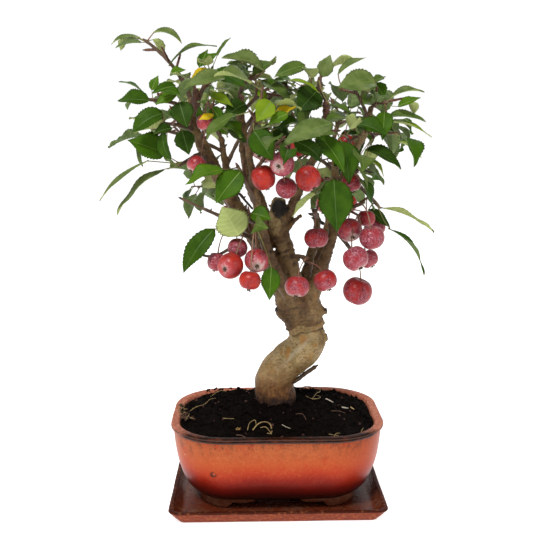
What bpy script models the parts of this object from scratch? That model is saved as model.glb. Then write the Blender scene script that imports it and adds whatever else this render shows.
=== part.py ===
"""Crabapple bonsai with fruit, in a glazed oval pot that stands on a drip tray.

Metres, +Z up. The origin is the middle of the tray's underside, and -Y is the front. The limbs, twigs,
leaves and fruit are worked out in millimetres, by the rule below, and scaled as they are built.
"""

import math
import random

import bmesh
import bpy
import numpy as np
from mathutils import Vector
from mathutils.bvhtree import BVHTree

MM = 0.001
CLEAR = 0.3              # gap between neighbouring solids, mm
LIMB_CLEAR = CLEAR * 1.15            # on a faceted limb's radius, so that its flats keep the gap too

TRAY_LENGTH, TRAY_DEPTH, TRAY_HEIGHT = 200, 150, 13.5
TRAY_CORNER = 9
TRAY_SLOPE = 9.5         # how far each wall leans out from the underside to the rim
TRAY_WALL, TRAY_FLOOR = 4.5, 5

POT_LENGTH, POT_DEPTH, POT_RIM_Z = 200, 150, 82.6
POT_CORNER = 51
RIM_WIDTH, LIP_HEIGHT = 8, 4.0
POT_BASE_Z = 14.5
POT_FLOOR_Z, FLOOR_INSET = 22, 26
# Heights on the pot's outer wall, and how far the wall stands in from the rim there.
POT_WALL = [(14.5, 24.5), (19, 18.6), (28, 12.6), (44, 7.0), (62, 3.6), (78.6, 2.2)]
FOOT_INSET, FOOT_WALL, FOOT_LEDGE = 25.5, 12, 3.5
FOOT_GAP = {"front": (22, 46), "side": (12, 27)}   # half the gap between feet: at the ledge, at the floor

SOIL_EDGE_Z, SOIL_TOP_Z = 79.0, 90.5
SOIL_RINGS = (0.78, 0.5, 0.24)       # the mound's rings, as shares of its plan
SOIL_ROUGH = 1.1
GROUND_Z = 86.0          # where the trunk is cut flat, inside the mound
TRUNK_FOOT = (0, 20)

GOLDEN = math.radians(137.5)
CROWN_HEART = Vector((5, 15, 290))   # leaves face away from here, and up
STEM_RADIUS, SPUR_RADIUS = 2.4, 1.5  # a stem tapers to the radius of its spurs
STEM_PLACES = (0, 1 / 3, 2 / 3, 1)
ROOT_SUNK = 1.5          # how far from a twig's end its first leaf or fruit stalk is rooted
LEAF_STEP, FRUIT_STEP = 1.8, 1.2     # from one root to the next, back along the twig
LEAF_SECTIONS = (0, 0.25, 0.62)      # where the blade's sections stand, as shares of its length
LEAF_KEEL = 1.0          # how deep the keel is under the midrib
LEAF_STALK, LEAF_BREADTH = (0.24, 0.4), (0.5, 0.62)   # as shares of the blade's length
LEAF_LEAN, LEAF_DROOP = (38, 62), (15, 75)            # angle to the twig, and bend along the blade, degrees
LEAF_ROOM = 0.6          # space kept round a blade
FRUIT_RADIUS, FRUIT_SQUAT = 10.2, 0.94                # and its height over its breadth
FRUIT_STALK, STALK_RADIUS = (17, 34), 0.75
FRUIT_AWAY = (3, 23)     # how far a fruit hangs to the side of its root
FRUIT_GAP = 0.8
# Where a measured leaf or fruit may be rooted, as shares of each stretch of a stem, and how far back or
# forth it may be moved, mm.
BEARING_SHARES = (0.1, 0.4, 0.7, 0.95)
NUDGES = (0, -4, 4, -8, 8, -12, 12)

# Stations along each limb: x, y, z and radius, all mm.
LIMBS = {
    "trunk": [(1, 20, 74, 21.5), (-1, 20, 96, 19.6), (-1, 19, 110, 19.2), (10, 17, 126, 17.8),
              (25, 14, 140, 18.0), (30, 13, 151, 17.8), (28, 11, 164, 17.2), (24, 11, 181, 20.0),
              (21, 11, 192, 18.0)],
    "leader": [(22, 10, 184, 13), (18, 8, 203, 9.4), (11, 5, 232, 7.8), (2, 3, 261, 8.5), (2, 2, 286, 6.8)],
    "bough_left": [(12, 9, 178, 11), (5, 5, 208, 8.7), (-18, -2, 252, 7.2), (-41, -6, 287, 6.4),
                   (-63, -6, 329, 5.3), (-76, -1, 356, 3.8), (-78, 4, 380, 2.8)],
    "bough_right": [(28, 8, 178, 11), (38, 5, 208, 6.9), (52, -2, 254, 4.4), (58, -2, 286, 4.1),
                    (66, 2, 319, 3.6), (82, 4, 350, 2.8), (87, 4, 372, 2.0)],
    "bough_centre_left": [(2, 6, 246, 6.6), (-20, 20, 292, 6.0), (-28, 27, 324, 5.2), (-32, 33, 355, 4.0),
                          (-36, 34, 380, 2.6)],
    "bough_centre_right": [(4, 3, 252, 5.0), (24, -4, 306, 3.8), (36, 3, 329, 3.5), (45, 8, 355, 2.8),
                           (46, 10, 380, 2.2)],
    "bough_inner_right": [(26, 12, 186, 7.5), (29, 19, 214, 4.9), (40, 27, 256, 3.6), (37, 31, 276, 2.4)],
    "bough_back_left": [(12, 18, 182, 8.5), (-2, 38, 208, 6.2), (-26, 62, 250, 5.0), (-46, 78, 300, 4.0),
                        (-54, 84, 344, 2.6)],
    "bough_back_right": [(24, 20, 180, 8.5), (36, 42, 208, 6.2), (54, 64, 252, 4.8), (62, 76, 300, 3.8),
                         (60, 82, 340, 2.6)],
    "bough_front": [(18, 0, 186, 7.0), (-5, -20, 232, 5.2), (-15, -30, 268, 4.2), (-21, -34, 304, 3.4),
                    (-26, -40, 339, 2.4)],
}


# Each mass of leaves: name, limb, place along the limb, the stem's tip (mm), spurs, leaves, fruit,
# leaf length, how far its leaves sag, and the seeds of its twigs and of its leaves.
MASSES = [
    ("sprig_top_left", "bough_left", 1.0, (-117, 0, 430), 3, 2, 0, 27, 0.0, 1, 22),
    ("shoot_left", "bough_left", 0.92, (-114, -18, 378), 2, 3, 0, 31, 0.05, 1, 14),
    ("tuft_left", "bough_left", 0.8, (-100, -30, 357), 2, 3, 0, 33, 0.15, 1, 16),
    ("droop_left", "bough_left", 0.68, (-86, -16, 321), 0, 0, 0, 56, 0.75, 1, 27),
    ("twig_tip_left", "bough_left", 0.3, (-44, -32, 266), 1, 0, 0, 36, 0.5, 10, 3),
    ("cluster_left_low", "bough_left", 0.42, (-20, -44, 270), 2, 2, 0, 34, 0.4, 140, 7),
    ("fan_left", "bough_left", 0.86, (-58, -16, 404), 3, 4, 0, 36, 0.15, 1, 48),
    ("inner_left", "bough_left", 0.74, (-48, -34, 370), 2, 3, 0, 32, 0.2, 158, 48),
    ("cluster_centre", "bough_front", 0.8, (4, -62, 345), 2, 4, 0, 34, 0.2, 41, 28),
    ("crown_front", "bough_front", 1.0, (-12, -60, 371), 3, 5, 0, 34, 0.15, 122, 30),
    ("leaf_low_front", "bough_front", 0.62, (-35, -52, 321), 1, 1, 0, 38, 0.5, 1, 2),
    ("cluster_low_centre", "leader", 0.5, (27, -32, 238), 1, 0, 0, 32, 0.4, 84, 36),
    ("crown_centre_left", "bough_centre_left", 1.0, (-20, 20, 402), 3, 6, 0, 36, 0.15, 1, 23),
    ("crown_centre", "bough_centre_left", 0.84, (-7, 40, 391), 3, 9, 0, 34, 0.1, 139, 9),
    ("crown_centre_right", "bough_centre_right", 1.0, (31, 4, 391), 3, 5, 0, 34, 0.15, 1, 43),
    ("tuft_centre", "bough_centre_right", 0.66, (28, -34, 353), 2, 3, 0, 42, 0.25, 136, 77),
    ("front_big", "bough_right", 0.55, (42, -42, 310), 1, 0, 0, 46, 0.6, 69, 73),
    ("crown_right", "bough_right", 0.9, (70, -2, 389), 3, 6, 0, 34, 0.15, 1, 59),
    ("tip_right", "bough_right", 1.0, (98, -12, 375), 2, 2, 0, 34, 0.15, 1, 20),
    ("side_right", "bough_right", 0.84, (86, -22, 345), 2, 4, 0, 36, 0.2, 1, 20),
    ("cluster_right_inner", "bough_right", 0.74, (66, -30, 331), 2, 2, 0, 32, 0.3, 77, 27),
    ("droop_right", "bough_right", 0.62, (96, 4, 281), 0, 0, 0, 46, 0.55, 1, 44),
    ("fruit_low_right", "bough_right", 0.36, (76, 2, 231), 0, 0, 0, 30, 0.5, 35, 44),
    ("cluster_right", "bough_right", 0.42, (77, -22, 286), 3, 1, 0, 34, 0.5, 158, 38),
    ("cluster_fork", "bough_inner_right", 0.8, (35, -12, 277), 1, 0, 0, 30, 0.4, 98, 10),
    ("side_left_back", "bough_back_left", 0.9, (-123, 62, 354), 3, 5, 0, 36, 0.1, 1, 47),
    ("side_right_back", "bough_back_right", 0.9, (108, 56, 358), 3, 6, 0, 36, 0.1, 1, 24),
    ("crown_middle", "bough_centre_left", 0.7, (10, 72, 397), 3, 10, 0, 34, 0.1, 1, 37),
    ("back_left_low", "bough_back_left", 0.6, (-72, 104, 304), 3, 9, 2, 36, 0.1, 15, 69),
    ("back_left_top", "bough_back_left", 1.0, (-80, 100, 374), 3, 12, 1, 36, 0.1, 6, 10),
    ("back_centre", "bough_back_left", 0.82, (-12, 112, 379), 3, 12, 2, 36, 0.1, 20, 27),
    ("back_right_top", "bough_back_right", 1.0, (78, 96, 376), 3, 12, 1, 36, 0.1, 2, 46),
    ("back_right_low", "bough_back_right", 0.6, (87, 104, 310), 3, 9, 2, 36, 0.1, 4, 80),
    ("back_middle", "bough_back_right", 0.8, (31, 126, 331), 3, 9, 2, 34, 0.1, 2, 74),
]
# Leaves measured off the photograph, by mass: the blade's foot and its tip, the way its upper face looks,
# its droop (degrees) and its breadth, all mm. The rest of the leaves grow by the rule.
OWN_LEAVES = {
    "sprig_top_left": [
        ((-123, 0, 433), (-148, -4, 427), (0, -0.45, 0.9), 60, 11),
        ((-121, 3, 429), (-146, 8, 425), (0, 0.3, 1), 35, 9),
        ((-110, -2, 437), (-84, -8, 427), (0.2, -0.5, 0.85), 75, 12),
        ((-111, 0, 432), (-102, 2, 417), (0.5, 0.7, 0.5), 20, 12),
        ((-97, -2, 408), (-53, -10, 425), (-0.4, -0.3, 0.9), 70, 10),
        ((-96, -4, 400), (-81, -10, 404), (0, -0.8, 0.6), 40, 9),
    ],
    "shoot_left": [
        ((-119, -18, 385), (-139, -22, 393), (0, -0.25, 1), 50, 8),
        ((-112, -20, 377), (-139, -26, 376), (0, -0.8, 0.6), 25, 17),
        ((-90, -14, 390), (-110, -22, 383), (0, -0.8, 0.6), 35, 11),
        ((-111, -16, 386), (-105, -14, 399), (0, -0.8, 0.6), 30, 9),
        ((-88, -24, 383), (-106, -30, 373), (0, -0.8, 0.6), 30, 12),
    ],
    "tuft_left": [
        ((-100, -28, 366), (-127, -34, 349), (0, -0.8, 0.6), 60, 19),
        ((-92, -28, 353), (-108, -34, 348), (0, -0.8, 0.6), 35, 10),
        ((-85, -30, 375), (-78, -38, 353), (0, -1, 0.2), 30, 20),
        ((-84, -26, 351), (-78, -30, 330), (0, -1, 0.2), 25, 18),
    ],
    "droop_left": [
        ((-100, -18, 330), (-132, -26, 343), (0, -0.8, 0.6), 20, 27),
        ((-115, -20, 325), (-160, -24, 290), (0, -0.25, 1), 30, 10),
        ((-102, -14, 317), (-148, -12, 275), (0, -0.4, 1), 40, 14),
    ],
    "leaf_low_front": [
        ((-32, -56, 317), (-54, -62, 290), (0, -0.9, 0.4), 30, 23),
    ],
    "twig_tip_left": [
        ((-56, -32, 265), (-85, -38, 225), (0, -0.8, 0.6), 60, 19),
        ((-34, -42, 259), (-49, -46, 286), (0, 1, 0.15), 15, 31),
    ],
    "cluster_left_low": [
        ((-24, -46, 280), (-6, -52, 275), (0, -0.8, 0.6), 30, 17),
        ((-6, -46, 233), (-8, -52, 204), (0, -1, 0.2), 15, 17),
    ],
    "fan_left": [
        ((-53, -14, 416), (-41, -14, 432), (0, -0.25, 1), 20, 8),
        ((-69, -14, 406), (-61, -12, 422), (0, -0.8, 0.6), 20, 9),
        ((-65, -20, 407), (-51, -22, 418), (0, -0.8, 0.6), 20, 9),
        ((-55, -22, 402), (-27, -36, 388), (0, -0.8, 0.6), 30, 18),
        ((-45, -36, 395), (-80, -48, 386), (0, -0.8, 0.6), 50, 16),
        ((-60, -26, 404), (-76, -32, 394), (0, -0.8, 0.6), 20, 9),
    ],
    "inner_left": [
        ((-28, -36, 374), (-46, -44, 362), (0, -0.8, 0.6), 25, 19),
        ((-59, -36, 382), (-38, -44, 371), (0, -0.8, 0.6), 30, 10),
        ((-57, -36, 371), (-47, -40, 356), (0, -1, 0.2), 25, 11),
        ((-55, -40, 364), (-68, -44, 360), (0, -0.8, 0.6), 20, 7),
    ],
    "crown_centre_left": [
        ((-11, 10, 405), (-50, 0, 416), (0, -0.5, 0.85), 30, 24),
        ((-22, 22, 403), (-3, 18, 414), (0, -0.8, 0.6), 20, 13),
    ],
    "crown_front": [
        ((-21, -62, 351), (-5, -68, 326), (0, -1, 0.2), 20, 22),
        ((-6, -60, 375), (-19, -66, 358), (0, -1, 0.2), 20, 18),
        ((8, -62, 365), (-9, -66, 356), (0, -0.8, 0.6), 25, 11),
    ],
    "tuft_centre": [
        ((47, -52, 357), (0, -74, 337), (0, -0.8, 0.6), 45, 21),
        ((21, -46, 357), (41, -52, 341), (0, -0.8, 0.6), 30, 15),
        ((37, -42, 336), (15, -50, 324), (0, -0.25, 1), 30, 8),
    ],
    "crown_centre_right": [
        ((37, -4, 387), (18, -14, 367), (0, -1, 0.2), 20, 25),
        ((26, 0, 409), (-3, -8, 398), (0, -0.8, 0.6), 35, 16),
        ((10, -14, 395), (38, -22, 384), (0, -0.25, 1), 45, 9),
        ((42, 4, 399), (49, 4, 419), (0, -0.8, 0.6), 25, 15),
        ((46, -18, 374), (71, -26, 359), (0, -0.25, 1), 40, 10),
    ],
    "crown_right": [
        ((55, -2, 401), (80, -6, 416), (0, -0.5, 0.9), 30, 11),
        ((89, -4, 394), (53, -16, 388), (0, -0.8, 0.6), 30, 26),
        ((90, 0, 394), (98, -4, 379), (0.3, -0.8, 0.5), 40, 13),
    ],
    "tip_right": [
        ((102, -12, 380), (132, -16, 385), (0, -0.5, 0.9), 60, 10),
        ((108, -16, 372), (128, -20, 380), (0, -0.8, 0.6), 20, 9),
        ((100, -14, 363), (134, -18, 359), (0, -0.5, 0.9), 40, 14),
        ((101, -18, 359), (138, -24, 345), (0, -0.25, 1), 40, 8),
    ],
    "side_right": [
        ((71, -26, 357), (96, -34, 347), (0, -0.8, 0.6), 35, 17),
        ((108, -20, 341), (130, -22, 327), (0, -0.25, 1), 50, 7),
        ((79, -24, 334), (110, -34, 317), (0.1, -0.6, 0.8), 45, 18),
        ((80, -20, 325), (96, -22, 310), (0, -0.25, 1), 70, 9),
        ((70, -22, 321), (81, -26, 298), (0.6, -0.4, 0.5), 40, 9),
    ],
    "cluster_right_inner": [
        ((64, -34, 339), (49, -40, 320), (0, -1, 0.2), 25, 22),
    ],
    "front_big": [
        ((48, -46, 310), (51, -50, 264), (0, -1, 0.2), 12, 30),
        ((34, -38, 297), (12, -42, 276), (0, 0.6, 0.8), 20, 9),
    ],
    "droop_right": [
        ((98, 4, 280), (148, -2, 257), (0, 0.3, 1), 35, 10),
        ((105, 0, 261), (140, -4, 217), (0.5, -0.1, 0.9), 55, 9),
        ((87, 10, 278), (108, 4, 260), (0, -0.8, 0.6), 20, 11),
    ],
}
# Fruit measured off it likewise: the middle and the radius.
OWN_FRUITS = {
    "inner_left": [((-63, -22, 358), 7.8), ((-72, -22, 321), 9)],
    "twig_tip_left": [((-55, -33, 235), 8.8), ((-42, -50, 234), 11.8), ((-36, -34, 247), 9.4)],
    "cluster_left_low": [((-19, -46, 238), 11), ((-25, -57, 223), 9.8)],
    "cluster_centre": [((-13, -50, 311), 11.2), ((3, -57, 323), 10.6), ((7, -50, 302), 9.5),
                       ((25, -54, 311), 11.5), ((16, -48, 337), 9)],
    "cluster_low_centre": [((17, -44, 214), 11.4), ((44, -25, 216), 10.8)],
    "cluster_fork": [((36, -16, 254), 11.2)],
    "cluster_right": [((66, -22, 262), 11), ((84, -34, 257), 11.4), ((69, -31, 239), 11.7),
                      ((85, -13, 234), 9.2), ((83, -11, 271), 8.4), ((95, 6, 260), 9.6)],
    "fruit_low_right": [((77, 0, 201), 14.2)],
    "cluster_right_inner": [((68, -8, 304), 9.4)],
}

# Knots, pruned stubs and the dead stick on the trunk: from, to, and the radius at each end, mm.
KNOTS = [
    ((30, 8, 176), (48, 4, 182), 7.5, 2.6),
    ((36, 8, 150), (48, 6, 156), 8.0, 4.5),
    ((12, 8, 176), (0, 4, 183), 6.5, 2.4),
    ((10, 17, 108), (36, 12, 127), 2.2, 1.3),
]


def smooth(stations, t):
    """A curve through the stations, t from 0 to 1: the point and the radius there."""
    last = len(stations) - 1
    place = min(max(t, 0.0), 1.0) * last
    i = min(int(place), last - 1)
    f = place - i
    p0, p1, p2, p3 = (np.array(stations[min(max(k, 0), last)], float) for k in (i - 1, i, i + 1, i + 2))
    q = 2 * p1 + (p2 - p0) * f
    q += (2 * p0 - 5 * p1 + 4 * p2 - p3) * f ** 2 + (3 * p1 - 3 * p2 + p3 - p0) * f ** 3
    return Vector(q[:3] / 2), float(q[3] / 2)


def heading(stations, t):
    """The way the curve runs at t."""
    before, _ = smooth(stations, max(t - 0.01, 0))
    after, _ = smooth(stations, min(t + 0.01, 1))
    return (after - before).normalized()


def square_to(axis):
    """Two unit vectors square to the axis, the second as near upright as it can be."""
    side = axis.cross(Vector((0, 0, 1)))
    if side.length < 1e-3:
        side = axis.cross(Vector((1, 0, 0)))
    side.normalize()
    return side, side.cross(axis).normalized()


def bent(start, middle, end, t):
    return start * (1 - t) ** 2 + middle * (2 * t * (1 - t)) + end * t * t


def tube(path, sides):
    """Points and faces of a closed tube along (point, radius) pairs."""
    points, faces = [], []
    n = len(path)
    u, _ = square_to((path[1][0] - path[0][0]).normalized())
    for i, (centre, radius) in enumerate(path):
        axis = (path[min(i + 1, n - 1)][0] - path[max(i - 1, 0)][0]).normalized()
        u = (u - axis * u.dot(axis)).normalized()
        v = axis.cross(u)
        for k in range(sides):
            a = 2 * math.pi * k / sides
            points.append(centre + (u * math.cos(a) + v * math.sin(a)) * radius)
    for i in range(n - 1):
        for k in range(sides):
            a, b = i * sides + k, i * sides + (k + 1) % sides
            faces.append((a, b, b + sides, a + sides))
    faces.append(tuple(range(sides - 1, -1, -1)))
    faces.append(tuple((n - 1) * sides + k for k in range(sides)))
    return points, faces


def ball(centre, radius, around=8, rings=4):
    """Points and faces of a fruit's squat ball."""
    points = [centre + Vector((0, 0, radius * FRUIT_SQUAT))]
    for i in range(1, rings):
        a = math.pi * i / rings
        for k in range(around):
            b = 2 * math.pi * k / around
            spot = Vector((math.sin(a) * math.cos(b), math.sin(a) * math.sin(b), FRUIT_SQUAT * math.cos(a)))
            points.append(centre + spot * radius)
    points.append(centre - Vector((0, 0, radius * FRUIT_SQUAT)))
    faces = [(0, 1 + k, 1 + (k + 1) % around) for k in range(around)]
    for i in range(rings - 2):
        for k in range(around):
            a, b = 1 + i * around + k, 1 + i * around + (k + 1) % around
            faces.append((a, a + around, b + around, b))
    last, end = 1 + (rings - 2) * around, 1 + (rings - 1) * around
    faces += [(last + k, end, last + (k + 1) % around) for k in range(around)]
    return points, faces


def half_breadth(s):
    """Half breadth of a blade at s along it, as a share of its greatest half breadth."""
    return math.sin(math.pi * s ** 0.8) ** 0.85 if 0 < s < 1 else 0.0


class Leaf:
    """A leaf on its stalk: out along the midrib, up off its upper face, drooping in an arc."""

    def __init__(self, root, out, up, foot, length, breadth, droop):
        self.root, self.out, self.up, self.side = root, out, up, out.cross(up)
        self.foot, self.length, self.breadth, self.droop = foot, length, breadth, droop

    def centre(self, s):
        """A point on the midrib, from the blade's foot at 0 to its tip at 1."""
        bend = self.droop * s
        return (self.foot + self.out * (self.length * math.sin(bend) / self.droop)
                - self.up * (self.length * (1 - math.cos(bend)) / self.droop))

    def normal(self, s):
        return self.out * math.sin(self.droop * s) + self.up * math.cos(self.droop * s)

    def blade(self):
        """Points and faces of the blade: left edge, right edge and keel at three places, then the tip."""
        points = []
        for s in LEAF_SECTIONS:
            half = self.half_breadth_at(s)
            points += [self.centre(s) - self.side * half, self.centre(s) + self.side * half,
                       self.centre(s) - self.normal(s) * LEAF_KEEL]
        return points + [self.centre(1)], closed_fan(3, 3)

    def room(self, margin):
        """Points and faces of the space to keep free for the blade, square in section."""
        points = []
        for s in LEAF_SECTIONS:
            half = self.half_breadth_at(s) + margin
            top, under = self.normal(s) * margin, self.normal(s) * -(LEAF_KEEL + margin * 0.5)
            points += [self.centre(s) - self.side * half + top, self.centre(s) + self.side * half + top,
                       self.centre(s) + self.side * half + under, self.centre(s) - self.side * half + under]
        return points + [self.centre(1.03)], closed_fan(3, 4)

    def half_breadth_at(self, s):
        return max(self.breadth / 2 * half_breadth(s), 0.5)

    def stalk_path(self, radius):
        """From the twig to a point well inside the blade's foot."""
        return [(self.root, radius), (self.centre(0.05) - self.normal(0.05) * LEAF_KEEL / 2, radius)]

    def solids(self):
        """Points and faces of stalk and blade, in one where the blade runs on from the stalk."""
        points, faces = self.blade()
        if self.out.dot((self.foot - self.root).normalized()) < 0.7:
            return [(points, faces), tube(self.stalk_path(STALK_RADIUS), 3)]
        top = self.root + self.up * 0.3
        root = [top - self.side * 0.45, top + self.side * 0.45, self.root - self.up * 0.5]
        return [(root + points, closed_fan(4, 3))]


def closed_fan(rings, sides):
    """Faces of rings of the same number of corners, closed by a point at the far end."""
    faces = [tuple(range(sides))]
    for i in range(rings - 1):
        for k in range(sides):
            a, b = sides * i + k, sides * i + (k + 1) % sides
            faces.append((b, a, a + sides, b + sides))
    last = sides * (rings - 1)
    return faces + [(last + (k + 1) % sides, last + k, last + sides) for k in range(sides)]


def measured_leaf(root, foot, tip, face, droop, breadth):
    """A leaf from its blade's foot to its tip, its upper face turned as near to face as it can be."""
    foot, span = Vector(foot), Vector(tip) - Vector(foot)
    bend = math.radians(droop)
    ahead, down = math.sin(bend) / bend, (1 - math.cos(bend)) / bend
    reach = math.hypot(ahead, down)
    along = span.normalized()
    square = Vector(face) - along * Vector(face).dot(along)
    square.normalize()
    out = (along * ahead + square * down) / reach
    up = (square * ahead - along * down) / reach
    return Leaf(root, out, up, foot, span.length / reach, breadth, bend)


class Fruit:
    """A fruit hanging on its stalk."""

    def __init__(self, root, middle, centre, radius):
        self.root, self.middle, self.centre, self.radius = root, middle, centre, radius

    def stalk_path(self, radius, steps=2):
        top = self.centre + Vector((0, 0, self.radius * 0.5))
        return [(bent(self.root, self.middle, top, i / steps), radius) for i in range(steps + 1)]


class Crown:
    """What stands in the crown so far, so that nothing is grown through anything else."""

    def __init__(self):
        self.held, self.fruits = [], []

    def add(self, shape, owner, kind):
        points, faces = shape
        low = [min(p[i] for p in points) for i in range(3)]
        high = [max(p[i] for p in points) for i in range(3)]
        self.held.append((BVHTree.FromPolygons(points, faces), low, high, owner, kind))

    def free(self, shape, owner="", kinds=(), clear=0.6):
        """True if the shape meets nothing but the kinds named of its own mass."""
        points, faces = shape
        low = [min(p[i] for p in points) - clear for i in range(3)]
        high = [max(p[i] for p in points) + clear for i in range(3)]
        tree = None
        for other, a, b, whose, kind in self.held:
            if whose == owner and kind in kinds or any(low[i] > b[i] or high[i] < a[i] for i in range(3)):
                continue
            tree = tree or BVHTree.FromPolygons(points, faces)
            if tree.overlap(other):
                return False
        return True


def within(path, spot, reach):
    """True if the spot lies within reach of the stem."""
    for (a, _), (b, _) in zip(path, path[1:]):
        along = b - a
        t = max(0.0, min(1.0, (spot - a).dot(along) / along.length_squared))
        if (spot - a - along * t).length < reach:
            return True
    return False


class Mass:
    """One mass of leaves: a stem off a limb, spurs off the stem, fruit and leaves off the spurs."""

    def __init__(self, name, limb, t, tip, spurs, leaves, fruits, leaf_length, sag, twig_seed, leaf_seed):
        self.name, self.limb, self.t, self.tip = name, limb, t, Vector(tip)
        self.wanted = spurs, leaves, fruits
        self.leaf_length, self.sag = leaf_length, sag
        self.reach = 1.15 * leaf_length + 12
        self.twig_seed, self.leaf_seed = twig_seed, leaf_seed
        self.stem, self.spurs, self.ends, self.leaves, self.fruits = [], [], [], [], []

    def grow_stem(self, crown):
        """The stem leaves its limb and bends to its tip, swung aside where another limb or stem stands."""
        base, limb_radius = smooth(LIMBS[self.limb], self.t)
        along = heading(LIMBS[self.limb], self.t)
        at_end = self.t == 1
        thick = limb_radius * 0.85 if at_end else min(limb_radius * 0.6, STEM_RADIUS)
        start = base - along * (2.0 if at_end else 0.0)
        span = self.tip - base
        share = 0.6 if at_end else 0.2
        straight = base + (along * share + span.normalized() * (1 - share)) * span.length * 0.5
        side, top = square_to(span.normalized())
        clear_of_limb = min((limb_radius + 1.5) / span.length, 0.6)
        for trial in range(14):
            swing = span.length * 0.07 * math.ceil(trial / 4)
            middle = straight + (side * math.cos(GOLDEN * trial) + top * math.sin(GOLDEN * trial)) * swing
            self.along_stem = lambda u, start=start, middle=middle: bent(start, middle, self.tip, u)
            self.stem = [(self.along_stem(u), thick + (SPUR_RADIUS - thick) * u ** 0.8) for u in STEM_PLACES]
            asked = [(self.along_stem(clear_of_limb + (1 - clear_of_limb) * u), radius + 2 * CLEAR)
                     for u, (_, radius) in zip(STEM_PLACES, self.stem)]
            if crown.free(tube(asked, 4), self.limb, ("limb",)):
                break
        crown.add(tube(self.stem, 4), self.name, "stem")

    def grow_spurs(self, crown):
        rng = random.Random(self.twig_seed)
        count = self.wanted[0]
        turn = rng.uniform(0, 2 * math.pi)
        for i in range(count):
            u = 0.35 + 0.55 * (i + 0.5) / count + rng.uniform(-0.05, 0.05)
            foot = self.along_stem(u)
            axis = (self.along_stem(u + 0.02) - foot).normalized()
            side, top = square_to(axis)
            for trial in range(4):
                a = turn + GOLDEN * i + rng.uniform(-0.5, 0.5) + trial * 1.1
                way = axis * 0.55 + side * math.cos(a) + top * math.sin(a) + Vector((0, 0, 0.3))
                way.normalize()
                size = rng.uniform(0.25, 0.5) * self.reach
                end = foot + way * size
                room = SPUR_RADIUS + 2 * CLEAR
                asked = tube([(foot + way * 2 * SPUR_RADIUS, room), (end, room)], 3)
                if within(self.stem, end, self.reach) and crown.free(asked, self.name, ("stem",)):
                    self.spurs.append([(foot, SPUR_RADIUS), (end, SPUR_RADIUS)])
                    crown.add(tube(self.spurs[-1], 3), self.name, "spur")
                    self.ends.append((end, way))
                    break
        self.ends.append((self.stem[-1][0], (self.stem[-1][0] - self.stem[-2][0]).normalized()))

    def bearers(self, spot):
        """Places on the stem and the spurs that can bear a leaf or fruit, the nearest to the spot first."""
        joints = [point for point, _ in self.stem[1:]]
        places = [a.lerp(b, share) for a, b in zip(joints, joints[1:]) for share in BEARING_SHARES]
        places += [end - way * ROOT_SUNK for end, way in self.ends[:-1]]
        return sorted(places, key=lambda place: (place - spot).length)

    def grow_measured(self, crown, leaves, fruits):
        """The fruit and leaves measured off the photograph, moved a little to or fro if they have to be."""
        for (x, y, z), radius in fruits:
            spots = [Vector((x, y + nudge, z)) for nudge in NUDGES]
            self.fruits += self.first_free_fruit(crown, spots, radius)
        for foot, tip, face, droop, breadth in leaves:
            self.leaves += self.first_free_leaf(crown, foot, tip, face, droop, breadth)

    def first_free_fruit(self, crown, spots, radius):
        for centre in spots:
            if any((centre - f.centre).length < radius + f.radius + FRUIT_GAP for f in crown.fruits):
                continue
            if not crown.free(ball(centre, radius + 2 * CLEAR)):
                continue
            for root in self.bearers(centre + Vector((0, 0, radius + 8))):
                away = Vector((centre.x - root.x, centre.y - root.y, 0)) * 0.7
                fruit = Fruit(root, root + away + Vector((0, 0, 1)), centre, radius)
                asked = tube(fruit.stalk_path(STALK_RADIUS + 2 * CLEAR), 3)
                if crown.free(asked, self.name, ("stem", "spur", "stalk")):
                    crown.add(ball(centre, radius), self.name, "fruit")
                    crown.add(tube(fruit.stalk_path(STALK_RADIUS), 3), self.name, "stalk")
                    crown.fruits.append(fruit)
                    return [fruit]
        return []

    def first_free_leaf(self, crown, foot, tip, face, droop, breadth):
        for nudge in NUDGES:
            aside = Vector((0, nudge, 0))
            for root in self.bearers(Vector(foot) + aside):
                leaf = measured_leaf(root, Vector(foot) + aside, Vector(tip) + aside, face, droop, breadth)
                stalk = tube([(root.lerp(leaf.foot, 0.1), 1.1), (leaf.centre(0), 1.1)], 3)
                if (crown.free(leaf.room(LEAF_ROOM), self.name, ("stalk",))
                        and crown.free(stalk, self.name, ("stem", "spur", "stalk"))):
                    crown.add(leaf.blade(), self.name, "blade")
                    crown.add(tube(leaf.stalk_path(0.6), 3), self.name, "stalk")
                    return [leaf]
        return []

    def grow_fruit(self, crown):
        """Fruit hang in a bunch from each twig's end, none nearer to another than they may be."""
        rng = random.Random(self.twig_seed + 1000)
        for j in range(self.wanted[2]):
            root, axis = self.ends[(j // 4) % len(self.ends)]
            for trial in range(30):
                a = rng.uniform(0, 2 * math.pi)
                radius = FRUIT_RADIUS * rng.uniform(0.88, 1.08)
                stalk = rng.uniform(*FRUIT_STALK)
                away = rng.uniform(*FRUIT_AWAY)
                drop = math.sqrt(max(stalk ** 2 - away ** 2, 64)) + radius * 0.5
                out = Vector((math.cos(a), math.sin(a), 0))
                centre = root + out * away - Vector((0, 0, drop))
                foot = root - axis * (ROOT_SUNK + FRUIT_STEP * (j % 4))
                fruit = Fruit(foot, root + out * away * 0.7 + Vector((0, 0, 1)), centre, radius)
                if any((centre - f.centre).length < radius + f.radius + FRUIT_GAP for f in crown.fruits):
                    continue
                if not crown.free(ball(centre, radius + 2 * CLEAR)):
                    continue
                asked = tube(fruit.stalk_path(STALK_RADIUS + 2 * CLEAR), 3)
                if not crown.free(asked, self.name, ("stem", "spur", "stalk")):
                    continue
                crown.add(ball(centre, radius), self.name, "fruit")
                crown.add(tube(fruit.stalk_path(STALK_RADIUS), 3), self.name, "stalk")
                crown.fruits.append(fruit)
                self.fruits.append(fruit)
                break

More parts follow.
